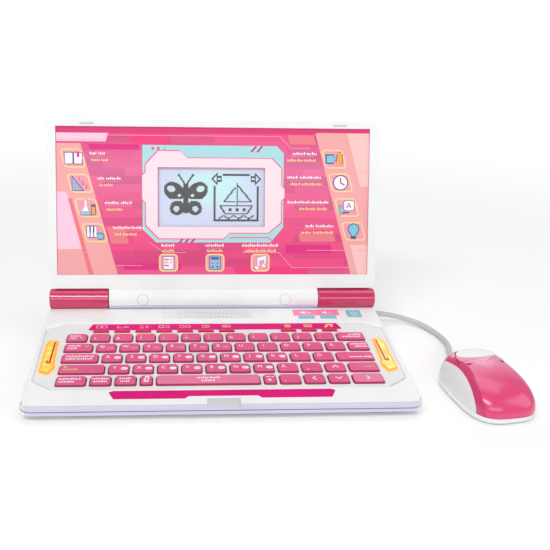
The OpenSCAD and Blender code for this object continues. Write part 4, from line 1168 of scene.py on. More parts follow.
# %% Tiles
side_tiles = {"book": (-127.6, 128), "square": (-121.9, 105.5), "flask": (-115.3, 83.5),
              "piano": (-108.8, 60.9), "puzzle": (110.4, 129), "clock": (116.7, 107.4),
              "card": (123, 84.7), "bulb": (129.6, 62.8)}
low_tiles = {"pad": (-42, 33.5), "sums": (0.8, 33.5), "note": (42.7, 33.5)}
tiles = {**side_tiles, **low_tiles}
slant, tile_r, rim_w = -0.27, 3.6, 1.3
rims, fills = [], []
for at, lean, w, h in ([(c, slant, 19.6, 17.2) for c in side_tiles.values()]
                       + [(c, 0, 17.4, 16.4) for c in low_tiles.values()]):
    rims += [leaned(bar(*at, w - k, h - k, tile_r - k / 2), lean, at[1]) for k in (0, 2 * rim_w)]
    fills.append(leaned(bar(*at, w - 1, h - 1, 3.2), lean, at[1]))
print_face(fills, "tile_fills", "tile", 3)
print_face(rims, "tile_rims", "cream", 4)
print(len(tiles), "tiles with rims", rim_w, "mm wide")


# %% Dark shapes of the pictures
def knobbed(x, y, w, h, sides):
    """A puzzle piece: a box with round knobs, +1 out or -1 in, on its sides."""
    out = []
    for (ax, ay), (bx, by), knob in zip(
            [(0, 0), (w, 0), (w, h), (0, h)], [(w, 0), (w, h), (0, h), (0, 0)], sides):
        out.append((x + ax, y + ay))
        if knob:
            mx, my, r = (ax + bx) / 2, (ay + by) / 2, 1.5
            span = math.hypot(bx - ax, by - ay)
            tx, ty = (bx - ax) / span, (by - ay) / span
            nx, ny = ty * knob, -tx * knob
            for a in range(-40, 221, 26):
                c, s = math.cos(math.radians(180 - a)), math.sin(math.radians(a))
                out.append((x + mx + r * c * tx + (r * s + 0.6) * nx,
                            y + my + r * c * ty + (r * s + 0.6) * ny))
    return out


flask_plan = [(-2, 6.4), (-2, 1.6), (-6, -5.6), (2.6, -5.6), (-0.6, 1.6), (-0.6, 6.4)]
bubble = bar(0, 0, 8.6, 8, 1.8)
note_plan = ([(-2.4, -3.2), (-2.4, 4.4), (5, 6), (5, -2.2)]
             + oval(3.3, -2.4, 1.9, 1.6, 12, 10, 330)
             + [(3.5, -1.2), (3.5, 2.6), (-0.9, 1.7), (-0.9, -4)]
             + oval(-2.7, -4.2, 1.9, 1.6, 12, 10, 330))
dark_parts = {
    "book": [bar(-3.5, 0, 7.4, 9.8, 1), bar(3.9, 0, 7.4, 9.8, 1)],
    "square": [[(-6.4, -6), (3.6, -6), (-6.4, 6.6)], [(-4.2, -3.6), (-0.6, -3.6), (-4.2, 0.8)]],
    "flask": [grown(flask_plan, 0.5), bar(4.8, -1.6, 3.8, 8.8, 1)],
    "piano": [bar(-2.4, 0.8, 8.6, 10, 0.8), oval(4.4, -2.8, 3.4, 3)],
    "puzzle": [grown(knobbed(-6.8, -3.4, 6.4, 6.8, (0, 1, 0, 0)), 0.5),
               knobbed(2.0, -4, 5.2, 8, (1, 0, 1, 0))],
    "clock": [oval(0, 0, 6.4)],
    "card": [moved(grown(bubble, 0.5), 1.8, 1.6),
             [(-6.8, 1.4), (-3.6, 1.4), (-3.6, -3.6), (1.8, -3.6), (1.8, -4.8),
              (-3.6, -4.8), (-6.4, -7), (-5.8, -4.4), (-6.8, -3.8)]],
    "bulb": [oval(0, 1.6, 4.9, 4.9, 24, -62, 242) + [(-2.3, -6.6), (2.3, -6.6)]],
    "pad": [bar(0, -0.2, 9.4, 11.4, 1)],
    "sums": [bar(0, 0, 9.4, 11.8, 1.4)],
    "note": [grown(note_plan, 0.5)]}
print(sum(len(shapes) for shapes in dark_parts.values()), "dark shapes")

# %% Fills and details of the pictures
fill_parts = {
    "white": {"book": [bar(-3.5, 0, 6.2, 8.6, 0.6), bar(3.9, 0, 6.2, 8.6, 0.6)],
              "flask": [flask_plan],
              "piano": [bar(x, 0.8, 2.1, 8.8, 0.3) for x in (-5.2, -2.4, 0.4)],
              "clock": [oval(0, 0, 5.5)],
              "card": [moved(bubble, 1.8, 1.6)],
              "pad": [bar(0, -0.2, 8.2, 10.2, 0.6)],
              "note": [note_plan]},
    "sky": {"square": [[(-5.8, -5.4), (2.2, -5.4), (-5.8, 4.8)],
                       [(-4.4, -3.8), (-0.2, -3.8), (-4.4, 1.2)]],
            "sums": [bar(0, 0, 8.2, 10.6, 1)]},
    "aqua": {"card": [[(-6.3, 0.9), (-3.6, 0.9), (-3.6, -4.1),
                       (-5.9, -6), (-5.4, -4.2), (-6.3, -3.7)]],
             "piano": [oval(4.4, -2.8, 2.7, 2.3)],
             "puzzle": [knobbed(-6.2, -2.9, 5.6, 5.8, (0, 1, 0, 0))],
             "bulb": [oval(0, 1.6, 4.1, 4.1, 24, -62, 242) + [(-1.6, -4), (1.6, -4)]]},
    "orange": {"flask": [bar(4.8, -2.2, 2.6, 6.4, 0.6)],
               "puzzle": [knobbed(2.6, -3.4, 4, 6.8, (1, 0, 1, 0))]}}
detail_parts = {
    "magenta": {"book": [[(3, 4.6), (5, 4.6), (5, 0.4), (4, 1.5), (3, 0.4)]],
                "clock": [stroke([(0, 4), (0, 0), (3.4, -2)], 1.1)],
                "pad": [bar(-1.6, 2.6, 3.8, 1), bar(2.2, 2.6, 1.6, 1), bar(-1.6, -2.2, 3.8, 1)]},
    "sky": {"flask": [[(-4.2, -2.6), (-6, -5.6), (2.6, -5.6), (1.2, -2.6)]],
            "bulb": [stroke([(-1.2, 1.2), (0, 2.4), (1.2, 1.2)], 0.6)]},
    "night": {"piano": [bar(x, 2.6, 1.2, 5) for x in (-3.8, -1)],
              "sums": [bar(0, 3.6, 6.4, 2), stroke([(-3, -0.2), (-1, -0.2)], 0.6),
                       stroke([(1, -0.2), (3, -0.2)], 0.6),
                       bar(-2, -3.4, 1.6, 1.6), bar(2, -3.4, 1.6, 1.6)],
              "bulb": [bar(0, -5.2, 2.8, 0.7)]},
    "orange": {"pad": [bar(-1.6, 0.2, 3.8, 1), bar(2.2, 0.2, 1.6, 1)]}}
picture_size = 1.12


def at_tiles(parts):
    """All shapes of one layer, sized and moved to their tiles."""
    return [moved(sized(shape, picture_size), *tiles[name])
            for name, shapes in parts.items() for shape in shapes]


print_face(at_tiles(dark_parts), "picture_lines", "night", 5)
for colour, parts_of in fill_parts.items():
    print_face(at_tiles(parts_of), "picture_" + colour, colour, 6)
for colour, parts_of in detail_parts.items():
    print_face(at_tiles(parts_of), "detail_" + colour, colour, 7)
print("pictures filled in", len(fill_parts), "inks, with details in", len(detail_parts))

# %% Digits and the letter on the tiles
signs = [("1", -0.6, 4, "square"), ("2", 2.6, 0.4, "square"), ("3", 5.8, -3.4, "square")]
digits = [letter(t, tiles[n][0] + x, tiles[n][1] + y, 5.2, FACE, 5) for t, x, y, n in signs]
dress(join(digits, "tile_digits"), "tile_digits", print_ink["plum"], "lid")
dress(letter("A", tiles["card"][0] + 1.8, tiles["card"][1] + 1.6, 7.4, FACE, 7), "card_letter",
      print_ink["plum"], "lid")
print(len(digits), "digits and a letter")

# %% [markdown]
# ## Lines of print beside the tiles
#
# Each tile has two short lines of print beside it, with a thin rule between them. The words
# on a real toy are too small to read from here. So each word is a row of small blocks of
# different widths and heights: it looks like print and says nothing.

# %% Words that say nothing, and their rules
tile_words = {"book": (-112.8, 13.5, 15.5), "square": (-106, 21.5, 12), "flask": (-99.5, 25, 14),
              "piano": (-92.4, 29, 20.5), "puzzle": (94, 22, 27), "clock": (99.5, 32.5, 29.5),
              "card": (105.5, 38, 27), "bulb": (111.5, 27, 31)}
white_words, cream_words, rules = [], [], []
rule_h, second_line, indent = 0.3, -6, 1.6
for k, (name, (edge, first, second)) in enumerate(tile_words.items()):
    y = tiles[name][1] + 4.6
    to_right = edge < 0
    for words, length, dy, size in ((white_words, first, 0, 2.3),
                                    (cream_words, second, second_line, 2.2)):
        start = edge + indent * (dy < 0) if to_right else edge - length
        gap = length * (0.36 if k % 2 else 0.58)
        words += word(start, y + dy, gap - 0.9, size, k)
        words += word(start + gap, y + dy, length - gap, size, k + 3)
    longest = max(first, second)
    middle_x = edge + longest / 2 if to_right else edge - longest / 2
    rules.append(bar(middle_x, y - 2.6, longest * 0.84, rule_h))
for k, (name, length) in enumerate((("pad", 13), ("sums", 18), ("note", 34))):
    x, y = tiles[name]
    white_words += word(x - length / 2, y + 16, length, 2.4, k)
    cream_words += word(x - length * 0.42, y + 11, length * 0.84, 2.3, k + 2)
    rules.append(bar(x, y + 13.5, length * 0.8, rule_h))
print_face(white_words, "white_words", "white", 4)
print_face(cream_words, "cream_words", "cream", 4)
print_face(rules, "word_rules", "peach", 4)
print(len(white_words) + len(cream_words), "blocks of print")

# %% [markdown]
# ## The display
#
# The display is a small liquid crystal panel with coarse square dots, behind a clear window.
# A dot is lit when it lies in one of a few simple shapes, so the pictures have the stepped
# outlines of the real thing. They show a sailing boat in a frame and a butterfly. A grid
# gives all the dots; the dark ones keep their face and get a little thickness.

# %% Simple shapes on a grid of dots
dots_x, dots_y, dot = 104, 57, 0.925
lcd_mid = (-2.4, 93.3)


def near(i, j, a, b, reach=0.75):
    """True where a dot lies on the line from a to b."""
    p, a, b = Vector((i, j)), Vector(a), Vector(b)
    t = max(0, min(1, (p - a).dot(b - a) / (b - a).length_squared))
    return (p - a - t * (b - a)).length < reach


def near_any(i, j, *lines_of):
    """True where a dot lies on one of several lines, each given by its two ends."""
    return any(near(i, j, a, b) for a, b in lines_of)


def inside_oval(i, j, x, y, rx, ry, turn=0):
    """True where a dot lies in an oval that is turned by some degrees."""
    c, s = math.cos(math.radians(turn)), math.sin(math.radians(turn))
    u, v = (i - x) * c + (j - y) * s, -(i - x) * s + (j - y) * c
    return (u / rx) ** 2 + (v / ry) ** 2 < 1


print("a grid of", dots_x, "by", dots_y, "dots")


# %% The two pictures on the display
def in_frame(i, j):
    """A framed boat with an arrow at each upper corner of the frame."""
    x0, x1, y0, y1, arrow_y = 54, 98, 5, 51, 46.5
    sides = (x0 <= i <= x0 + 1 or x1 - 1 <= i <= x1) and y0 <= j < 40
    floor_line = j <= y0 + 1 and y0 <= j and x0 <= i <= x1
    roof_line = y1 - 1 <= j <= y1 and x0 + 8 < i < x1 - 8
    edge = sides or floor_line or roof_line
    for tip, way in ((51.5, 1), (100.5, -1)):
        back = (i - tip) * way
        off = abs(j - arrow_y)
        head = 0 <= back < 6 and off <= back + 0.6
        hollow = 2 <= back < 5 and off < back - 1.4
        tail = 5 <= back < 10 and off < 2.8 and not (off < 1.2 and back < 9)
        edge = edge or (head and not hollow) or tail
    hull = near_any(i, j, ((60, 20), (92, 20)), ((60, 20), (65, 12)), ((92, 20), (87, 12)),
                    ((65, 12), (87, 12)))
    sails = near_any(i, j, ((77, 21), (77, 42)), ((77, 41), (91, 24)), ((91, 24), (77, 24)),
                     ((75, 38), (64, 24)), ((64, 24), (75, 24)))
    waves = 8 <= j - 1.4 * math.sin(i * 0.62) < 9.4 and 58 < i < 95
    port = any(inside_oval(i, j, x, 16, 1.6, 1.6) for x in (70, 77, 84))
    return edge or hull or sails or waves or port


def in_butterfly(i, j):
    """A butterfly with spotted wings, seen from above."""
    k = abs(i - 26)
    body = (k < 2.2 and 12 < j < 38) or inside_oval(k, j, 0, 39, 3, 3)
    feelers = near(k, j, (1, 41), (6, 49), 0.8) or inside_oval(k, j, 7, 50, 1.4, 1.4)
    upper = inside_oval(k, j, 11.6, 34, 11, 8.4, 32)
    lower = inside_oval(k, j, 8.6, 17.6, 7.6, 7, -30)
    spots = (inside_oval(k, j, 14.5, 36.5, 4, 3.2, 30) or inside_oval(k, j, 9.4, 16.6, 2.8, 3)
             or inside_oval(k, j, 6.6, 30, 1.6, 1.2))
    gaps = (k > 2.2 and abs(j - 25.4) < 0.8) or (2.2 <= k < 3)
    return body or feelers or ((upper or lower) and not (spots or gaps))


print("pictures: a boat in a frame, and a butterfly")

# %% Lit dots
bpy.ops.object.select_all(action="DESELECT")
bpy.ops.mesh.primitive_grid_add(x_subdivisions=dots_x, y_subdivisions=dots_y, size=1)
dots = bpy.context.object
dots.scale = (dots_x * dot, dots_y * dot, 1)
pick(dots)
bpy.ops.object.transform_apply(scale=True)


def unlit(c, n):
    """Whether the dot with its centre at c stays clear."""
    i, j = int(c.x / dot + dots_x / 2), int(c.y / dot + dots_y / 2)
    return not (in_frame(i, j) or in_butterfly(i, j))


choose(dots, "FACE", unlit)
bpy.ops.mesh.delete(type="FACE")
leave()
thick = dots.modifiers.new("thick", "SOLIDIFY")
thick.thickness = 0.12
thick.offset = 0
bpy.ops.object.modifier_apply(modifier="thick")
dots.data.transform(Matrix.Translation((*lcd_mid, 0)))
on_glass = LID @ Matrix.Translation((0, -0.86, 0)) @ Matrix.Rotation(math.radians(90), 4, "X")
settle(dots, on_glass, 0.0005)
dress(dots, "display_dots", print_ink["black"], "lid")
print(len(dots.data.polygons) // 2, "lit dots")

# %% [markdown]
# ## Panel and window
#
# The panel behind the dots is pale cyan, and turns a little violet towards its edges. A ramp
# over the distance from its middle does that. In front of it sits a clear plastic window. A
# glass shader would do, but it takes many samples to look clean. A nearly clear alpha with a
# little gloss keeps the small dots crisp.

# %% Display panel
lcd_finish = plastic("display panel", rgb(182, 228, 232), rough=0.3, grain=0.0, drift=0.02)
nodes, links = lcd_finish.node_tree.nodes, lcd_finish.node_tree.links
place = nodes.new("ShaderNodeTexCoord").outputs["Object"]
middle = nodes.new("ShaderNodeMapping")
middle.inputs["Rotation"].default_value = (-lid_turn, 0, 0)
centre = Matrix.Rotation(-lid_turn, 3, "X") @ (LID @ Vector((lcd_mid[0], 0, lcd_mid[1])))
across, upright = 20, 36  # one over the distances in metres at which the tone reaches 1
middle.inputs["Location"].default_value = (-centre.x * across, -centre.y * across,
                                           -centre.z * upright)
middle.inputs["Scale"].default_value = (across, across, upright)
edge_glow = nodes.new("ShaderNodeVectorMath")
edge_glow.operation = "LENGTH"
edge_tone = nodes.new("ShaderNodeValToRGB")
edge_tone.color_ramp.elements[0].position = 0.7
edge_tone.color_ramp.elements[0].color = rgb(196, 240, 243)
edge_tone.color_ramp.elements[1].position = 1.25
edge_tone.color_ramp.elements[1].color = rgb(206, 220, 246)
wire(links,
     (place, middle.inputs["Vector"]),
     (middle.outputs[0], edge_glow.inputs[0]),
     (edge_glow.outputs["Value"], edge_tone.inputs["Fac"]),
     (edge_tone.outputs["Color"], shader_of(lcd_finish).inputs["Base Color"]))
panel_skin = rounded("lcd_glass", 0.1, lcd_finish, "lid", LID)
print("display panel:", len(panel_skin.data.polygons), "faces")

# %% Clear window
window = bpy.data.materials.new("clear window")
window.use_nodes = True
pane = shader_of(window)
pane.inputs["Base Color"].default_value = (1, 1, 1, 1)
pane.inputs["Roughness"].default_value = 0.06
pane.inputs["Alpha"].default_value = 0.04
haze = window.node_tree.nodes.new("ShaderNodeTexNoise")
haze.inputs["Scale"].default_value = 300
haze_range = window.node_tree.nodes.new("ShaderNodeMapRange")
haze_range.inputs["To Min"].default_value = 0.04
haze_range.inputs["To Max"].default_value = 0.1
coords = window.node_tree.nodes.new("ShaderNodeTexCoord")
wire(window.node_tree.links,
     (coords.outputs["Object"], haze.inputs["Vector"]),
     (haze.outputs["Fac"], haze_range.inputs["Value"]),
     (haze_range.outputs[0], pane.inputs["Roughness"]))
bpy.ops.object.select_all(action="DESELECT")
bpy.ops.mesh.primitive_cube_add(size=1)
clear = bpy.context.object
clear.scale = (103.4, 0.35, 59.4)
clear.location = (lcd_mid[0], -1.6, lcd_mid[1])
pick(clear)
bpy.ops.object.transform_apply(location=True, rotation=True, scale=True)
choose(clear, "EDGE", lambda a, b: abs(a.y - b.y) > 0.1)
bpy.ops.mesh.bevel(offset=2, segments=4, affect="EDGES")
leave()
dress(settle(clear, LID), "window_pane", window, "lid", ["lcd_window"])
print("window:", len(clear.data.polygons), "faces")

# %% [markdown]
# ## Strips and buttons
#
# Two hot pink strips are stuck into shallow seats, one above the keys and one at the front.
# The slim buttons beside them are glossy. They keep the accurate outlines, so each is a
# rounded copy of its solid. Their signs are prints again, each laid on its own surface.

# %% Strips and deck buttons
strip = plastic("hot pink strip", rgb(222, 0, 122), rough=0.5, drift=0.1, grain=0.04)
shader_of(strip).inputs["Specular IOR Level"].default_value = 0.2
pink_label = plastic("pale pink label", rgb(250, 142, 180), rough=0.35)
labels = [rounded("category_label", 0.12, strip, "base"),
          rounded("front_label", 0.15, strip, "base"),
          rounded("function_label", 0.15, pink_label, "base")]
rounded("category_buttons", 0.25, crimson, "category_buttons_body")
for node in ("volume_down_button", "volume_up_button", "power_button"):
    rounded(node, 0.35, cyan, node + "_body", segments=3)

STRIP = DECK @ Matrix.Translation((0, 0, -0.3))
LABEL = DECK @ Matrix.Translation((0, 0, 0.2))
CAP = DECK @ Matrix.Translation((0, 0, key_top))
POWER = DECK @ Matrix.Translation((0, 0, 0.5))


def print_on(shapes, name, place, colour, body):
    """Prints shapes on a surface of the case."""
    return dress(ink(shapes, name, place), name, print_ink[colour], body)


print(len(labels), "strips and labels, with their buttons")

# %% Signs on the strip over the slim buttons
cat_x = [-99.9 + 18.15 * i for i in range(7)] + [63.4 + 18.2 * i for i in range(3)]


def ring_line(points, width=0.5):
    """A closed line with a width, as two nested outlines."""
    xs = [p[0] for p in points]
    ys = [p[1] for p in points]
    cx, cy = (min(xs) + max(xs)) / 2, (min(ys) + max(ys)) / 2
    kx, ky = 1 - 2 * width / (max(xs) - min(xs)), 1 - 2 * width / (max(ys) - min(ys))
    return [points, [(cx + (x - cx) * kx, cy + (y - cy) * ky) for x, y in points]]


flask_sign = [(-3.4, -2.3), (0.6, -2.3), (-0.8, 0.4), (-0.8, 2.3), (-2, 2.3), (-2, 0.4)]
strip_signs = [
    ring_line(bar(-2.5, 0, 4.6, 4.6, 0.6)) + ring_line(bar(2.5, 0, 4.6, 4.6, 0.6)),
    ring_line([(-4.6, -2.3), (0.2, -2.3), (-4.6, 2.3)], 0.6) + word(1, -0.4, 4, 2),
    ring_line(flask_sign) + ring_line(bar(3, -0.4, 2, 3.6, 0.5), 0.4),
    ring_line(bar(-2.6, 0, 4.4, 4.4, 0.3)) + ring_line(oval(2.8, -0.4, 2, 1.8), 0.45),
    ring_line(oval(-2.6, 0, 2.3)) + ring_line(oval(2.6, 0, 2.3)),
    ring_line(oval(0, 0, 3.4, 2.4), 0.55) + [stroke([(0, 1.4), (0, 0), (1.5, -0.5)], 0.5)],
    ring_line(bar(0, 0.2, 7.6, 4.2, 1.2)) + word(-2.4, 0.2, 4.8, 1.6, 2),
    ring_line(bar(0, 0, 5.4, 4.6, 0.8)) + [bar(0, y, 3.2, 0.5) for y in (1, -0.1, -1.2)],
    ring_line(bar(0, 0, 7, 4.6, 0.8)) + [bar(x, -0.4, 0.9, 2.2) for x in (-1.8, 0, 1.8)],
    [[(0.86 * x, 0.5 * y) for x, y in note_plan]]]
sign_y = -42.2
for colour, group in (("blush", range(7)), ("cream", range(7, 10))):
    print_on([moved(s, cat_x[k], sign_y) for k in group for s in strip_signs[k]],
             "strip_signs_" + colour, STRIP, colour, "base")
print(len(strip_signs), "signs on the strip")

# %% Signs on the label and the power button
label_y, label_sign = -18, 1.35
speaker_sign = [[(-3.4, -0.8), (-2, -0.8), (-0.2, -2.2), (-0.2, 2.2), (-2, 0.8), (-3.4, 0.8)]]
plus_plan = [(1, 0), (2.1, 0), (2.1, 1.3), (2.9, 1.3), (2.9, 0), (4, 0), (4, -0.8), (2.9, -0.8),
             (2.9, -2.1), (2.1, -2.1), (2.1, -0.8), (1, -0.8)]
label_shapes = []
for x, change in ((83.4, bar(2.4, 0, 2.8, 0.8)), (103.2, stroke(plus_plan, 0.1))):
    label_shapes += [moved(sized(s, label_sign), x, label_y) for s in speaker_sign + [change]]
print_on(label_shapes, "label_signs", LABEL, "white", "base")
power_x, power_y = 128, -20.4
power_ring = (oval(power_x, power_y, 3, 2.7, 24, 120, 420)
              + oval(power_x, power_y, 2.2, 1.9, 24, 420, 120))
print_on([power_ring, bar(power_x, -18.2, 0.8, 2.6)], "power_sign", POWER, "pale frame",
         "power_button_body")
print(len(label_shapes), "shapes on the label")

# %% [markdown]
# ## Lit lamps
#
# A clear amber lens glows at each side of the keys. The lens has an orange rim that carries
# the light round the edge, a bright yellow face, and a brown red rod along it. The lens gives
# off a little light of its own, and a warm ring of painted lamp light lies on the plate round it.

# %% Lamp lenses and rods
lens = plastic("amber lens", rgb(244, 168, 40), rough=0.18, coat=0.5, drift=0.1, grain=0.05)
face_lens = plastic("bright lens face", rgb(236, 150, 10), rough=0.15, coat=0.6, drift=0,
                    grain=0.05, flow_scale=120, bright=rgb(255, 232, 120))
for material, light, strength in ((lens, rgb(250, 150, 30), 0.35),
                                  (face_lens, rgb(255, 186, 40), 0.42)):
    shader_of(material).inputs["Emission Color"].default_value = light
    shader_of(material).inputs["Emission Strength"].default_value = strength
rod_mat = plastic("brown red rod", rgb(176, 66, 8), rough=0.3, coat=0.4)


def lamp_outline(side, g):
    """Outline of a lamp drawn in by g, on side -1 or 1."""
    x0, x1, y1, y0 = 131.2 + g, 142.8 - g, -66 - g, -118 + g
    plan = ((x0 + 3, y1), (x1 - 1.8, y1), (x1, y1 - 6), (x1, y0 + 4),
            (x1 - 8, y0), (x0 + 3.5, y0 + 1), (x0, y0 + 10), (x0 + 1.6, y0 + 16))
    return [(side * x, y) for x, y in plan]


def lens_roundness(p):
    """Share of the bevel for an edge of a lens: little round the rod's groove."""
    return 0.1 if abs(abs(p.x) - 137) < 2.7 and -104.5 < p.y < -67.5 else 1.0


LENS = DECK @ Matrix.Translation((0, 0, 0.2))
PLATE = DECK @ Matrix.Translation((0, 0, -0.8))
# a warm ring of painted lamp light on the plate round each lens
painted_lamp_light = plastic("painted lamp light on the plate", rgb(255, 222, 176), rough=0.5)
for side, word_of_side in both_sides:
    node = "lamp_lens_" + word_of_side
    rounded(node, 0.5, lens, "base", DECK, lens_roundness, 3)
    face = ink([lamp_outline(side, 1.3)], node + "_face", LENS, 1)
    dress(even_shade(face), node + "_face", face_lens, "base")
    # painted lamp light on the plate round the lens
    painted_halo = ink([lamp_outline(side, -1.7), lamp_outline(side, -0.05)], node + "_glow", PLATE)
    dress(painted_halo, node + "_glow", painted_lamp_light, "base")
rods = copy_of("lamp_rods", "lamp_rods_skin")
rod_lift = 0.3
rods.data.transform(Matrix.Translation((0, 0, rod_lift * MM)))
rods = round_edges(rods, 0.2)
dress(rods, "lamp_rods_skin", rod_mat, "base", ["lamp_rods"])
print("rods:", len(rods.data.polygons), "faces")

# %% [markdown]
# ## Signs on the keys
#
# Letters use the built-in font. Other keys carry short lines of print, arrows or small signs,
# with a few in lime or in a white oval. Prints on keys that move apart are separate pieces,
# one for each body and colour, so every sign goes down with its own key.

# %% Placing signs on the keys
legends = {}


def on_key(row, i, colour, shapes=(), text=None, dx=0, dy=0, size=5.0):
    """Notes shapes or a sign for a key, placed from its back left corner."""
    x, front = key_place(row, i)[:2]
    bucket = legends.setdefault((key_bodies[row, i], colour), {"shapes": [], "texts": []})
    bucket["shapes"] += [moved(s, x, front + key_d) for s in shapes]
    if text:
        bucket["texts"].append((text, x + dx, front + key_d + dy, size))


line_step = -3.9


def lines(row, i, colour, lengths, x0=3, y0=-4.2, size=2.1, centred=False, beat=0):
    """Lines of print on a key, from x0, or up to x0 before its right edge if that is negative."""
    width = key_place(row, i)[2]
    for k, length in enumerate(lengths):
        start = x0 if x0 >= 0 else width + x0 - length
        if centred:
            start = width / 2 - length / 2
        on_key(row, i, colour, word(start, y0 + k * line_step, length, size, beat + k))


print("helpers: on_key, lines")

# %% Letters, digits and ovals
top_signs, low_signs = "1234567890%", "+&?!=/%*():"
for k in range(11):
    on_key(0, k + 1, "lime", text=top_signs[k], dx=4.2, dy=-3.9, size=3.4)
    on_key(0, k + 1, "white", text=low_signs[k], dx=4.2, dy=-8.6, size=4.8)
for row, letters in ((1, "QWERTZUIOPÄ"), (2, "ASDFGHJKLÔ"), (3, "YXCVBNMÄ")):
    for k, sign in enumerate(letters):
        on_key(row, k + 1, "white", text=sign, dx=5.0, dy=-5.7, size=5.2)
for k in range(6):
    on_key(1, k + 1, "peach", word(9.2, -7.6, 5.4, 2.2, k))
for row, count in ((2, 8), (3, 7)):
    for k in range(count):
        on_key(row, k + 1, "white", [oval(12.6, -6.8, 2.7, 1.9), *word(10.9, -6.8, 3.2, 1.3, k)])
print(sum(len(bucket["texts"]) for bucket in legends.values()), "letters, digits and signs")

# %% Lines of print, arrows and small signs
lines(0, 0, "white", (8.4, 5.4))
on_key(0, 0, "lime", [oval(12.6, -7.6, 1.3, 1.3)])
lines(0, 12, "white", (10.4, 17), x0=-3, beat=2)
lines(1, 0, "white", (10.6, 7.8), beat=1)
on_key(1, 0, "lime", [bar(18.6, -4.2, 3.2, 0.7), bar(18.6, -5.8, 3.2, 0.7)])
lines(1, 12, "white", (13.4, 10), x0=-2, beat=4)
lines(2, 0, "white", (22.6, 22), x0=3.4, y0=-4.4, beat=3)
on_key(2, 11, "white", [bar(16, -8.6, 11, 0.8)] + word(22.6, -8.4, 7.6, 2.4, 2))
lines(3, 0, "lime", (12.6,), x0=3.4, y0=-7.4, size=2.8, beat=2)
on_key(3, 0, "lime", [oval(5, -4, 1.5, 1.2)])
on_key(3, 9, "white", text=",", dx=5, dy=-8.6, size=6)
lines(3, 11, "lime", (9.4,), x0=-3, y0=-6.8, size=1.6, beat=1)
for i, lengths in ((0, (17, 12.4)), (1, (13.6, 10.6)), (2, (9.8, 7.8))):
    lines(4, i, "white", lengths, x0=2.4 if i == 0 else 1, y0=-4.6, centred=i > 0, beat=i)
on_key(4, 3, "white", [moved(sized(note_plan, 0.46), 4.9, -4), bar(4.9, -9.2, 4.4, 0.8),
                       bar(4.9, -7.6, 4.4, 0.8)])
lines(4, 4, "white", (17.6, 11), y0=-4.6, centred=True, beat=3)
on_key(4, 5, "white", [moved(sized(speaker_sign[0], 0.8), 5.6, -8.6), bar(3.6, -4.2, 3, 0.8),
                       bar(7, -4.2, 1.6, 0.8)])
on_key(4, 6, "white", text=".", dx=4, dy=-8.4, size=6)
for (row, i), turn in (((3, 10), 90), ((4, 7), 180), ((4, 8), 270), ((4, 9), 0)):
    width = key_place(row, i)[2]
    arrow = turned(stroke([(-1.3, 2.5), (1.4, 0), (-1.3, -2.5)], 0.8), turn)
    on_key(row, i, "white", [moved(arrow, width / 2, -6.6)])
print(sum(len(bucket["shapes"]) for bucket in legends.values()), "outlines")

# %% One print for each body and colour
key_ink_low = -0.14  # deep enough to reach the dished top of a cap
for (body, colour), bucket in legends.items():
    name = "legend_" + body.replace("_body", "") + "_" + colour.replace(" ", "_")
    pieces = [ink(bucket["shapes"], name, CAP, 0, key_ink_low)] if bucket["shapes"] else []
    pieces += [letter(*text, CAP, 0, key_ink_low) for text in bucket["texts"]]
    dress(join(pieces, name), name, print_ink[colour], body)
print(len(legends), "legend prints")

# %% [markdown]
# ## The mouse
#
# The mouse is a low hump. Its outline from above is a rounded oblong, its profile rises
# steeply at the nose and falls gently to the tail, and each cross-section is a rounded arch.
# Such a form is a ball whose points are moved by three short formulas. Around each side panel
# the shell has a sunk band. The panels, the front button and the oval come from the same
# form, cut to their outlines with Boolean modifiers, so that all of them flow together.

# %% Form of the mouse
mouse_len, mouse_w, mouse_h, mouse_split = 82.0, 57.0, 29.5, 5.6
plan_n, arch_n, apex_y, tail_n, nose_n = 3.2, 2.7, 6.0, 2.2, 3.2
panel_y, panel_ry, panel_rz, panel_in = 5.5, 35.0, 18.2, 11.0


def pull(v, e):
    """A power that keeps the sign."""
    return math.copysign(abs(v) ** e, v)


def arch(y):
    """Share of the full height at a place along the mouse."""
    if y < apex_y:
        u, n = (apex_y - y) / (apex_y + mouse_len / 2), tail_n
    else:
        u, n = (y - apex_y) / (mouse_len / 2 - apex_y), nose_n
    return (1 - min(1, u) ** n) ** (1 / n)


def hump(name, g, band=0.0, rings=96, around=128):
    """The closed upper form of the mouse, drawn in by g, with sunk bands round the panels."""
    bpy.ops.object.select_all(action="DESELECT")
    bpy.ops.mesh.primitive_uv_sphere_add(segments=around, ring_count=rings, radius=1,
                                         rotation=(math.radians(90), 0, 0))
    obj = bpy.context.object
    obj.name = name
    pick(obj)
    bpy.ops.object.transform_apply(rotation=True)
    for vertex in obj.data.vertices:
        p = vertex.co
        t = max(-1, min(1, p.y * 0.9998))
        a = math.atan2(p.z, p.x)
        y = mouse_len / 2 * t
        plan = (1 - abs(t) ** plan_n) ** (1 / plan_n)
        x = (mouse_w / 2 - g) * plan * pull(math.cos(a), 2 / arch_n)
        z = (mouse_h - mouse_split - g) * arch(y) * max(0, pull(math.sin(a), 2 / arch_n))
        e = math.hypot((y - panel_y) / panel_ry, z / panel_rz)
        sunk = band * max(0, min(1, (1.2 - e) / 0.17)) * min(1, max(0, (abs(x) - panel_in) / 4))
        vertex.co = (x - math.copysign(sunk, x), (mouse_len / 2 - g) / (mouse_len / 2) * y,
                     mouse_split + z - 0.3 * sunk)
    return settle(obj, Matrix.Identity(4), 0.002)


print("mouse", mouse_len, "x", mouse_w, "x", mouse_h, "mm")


# %% Blocks that cut the mouse into its pieces
def zone(shape, low, high, name):
    """An upright block with some outline, for cutting."""
    block = ink([shape], name, Matrix.Identity(4))
    z0, z1 = min(v.co.z for v in block.data.vertices), max(v.co.z for v in block.data.vertices)
    for vertex in block.data.vertices:
        vertex.co.z = low if vertex.co.z < (z0 + z1) / 2 else high
    return block


block_w, above = 40, 40


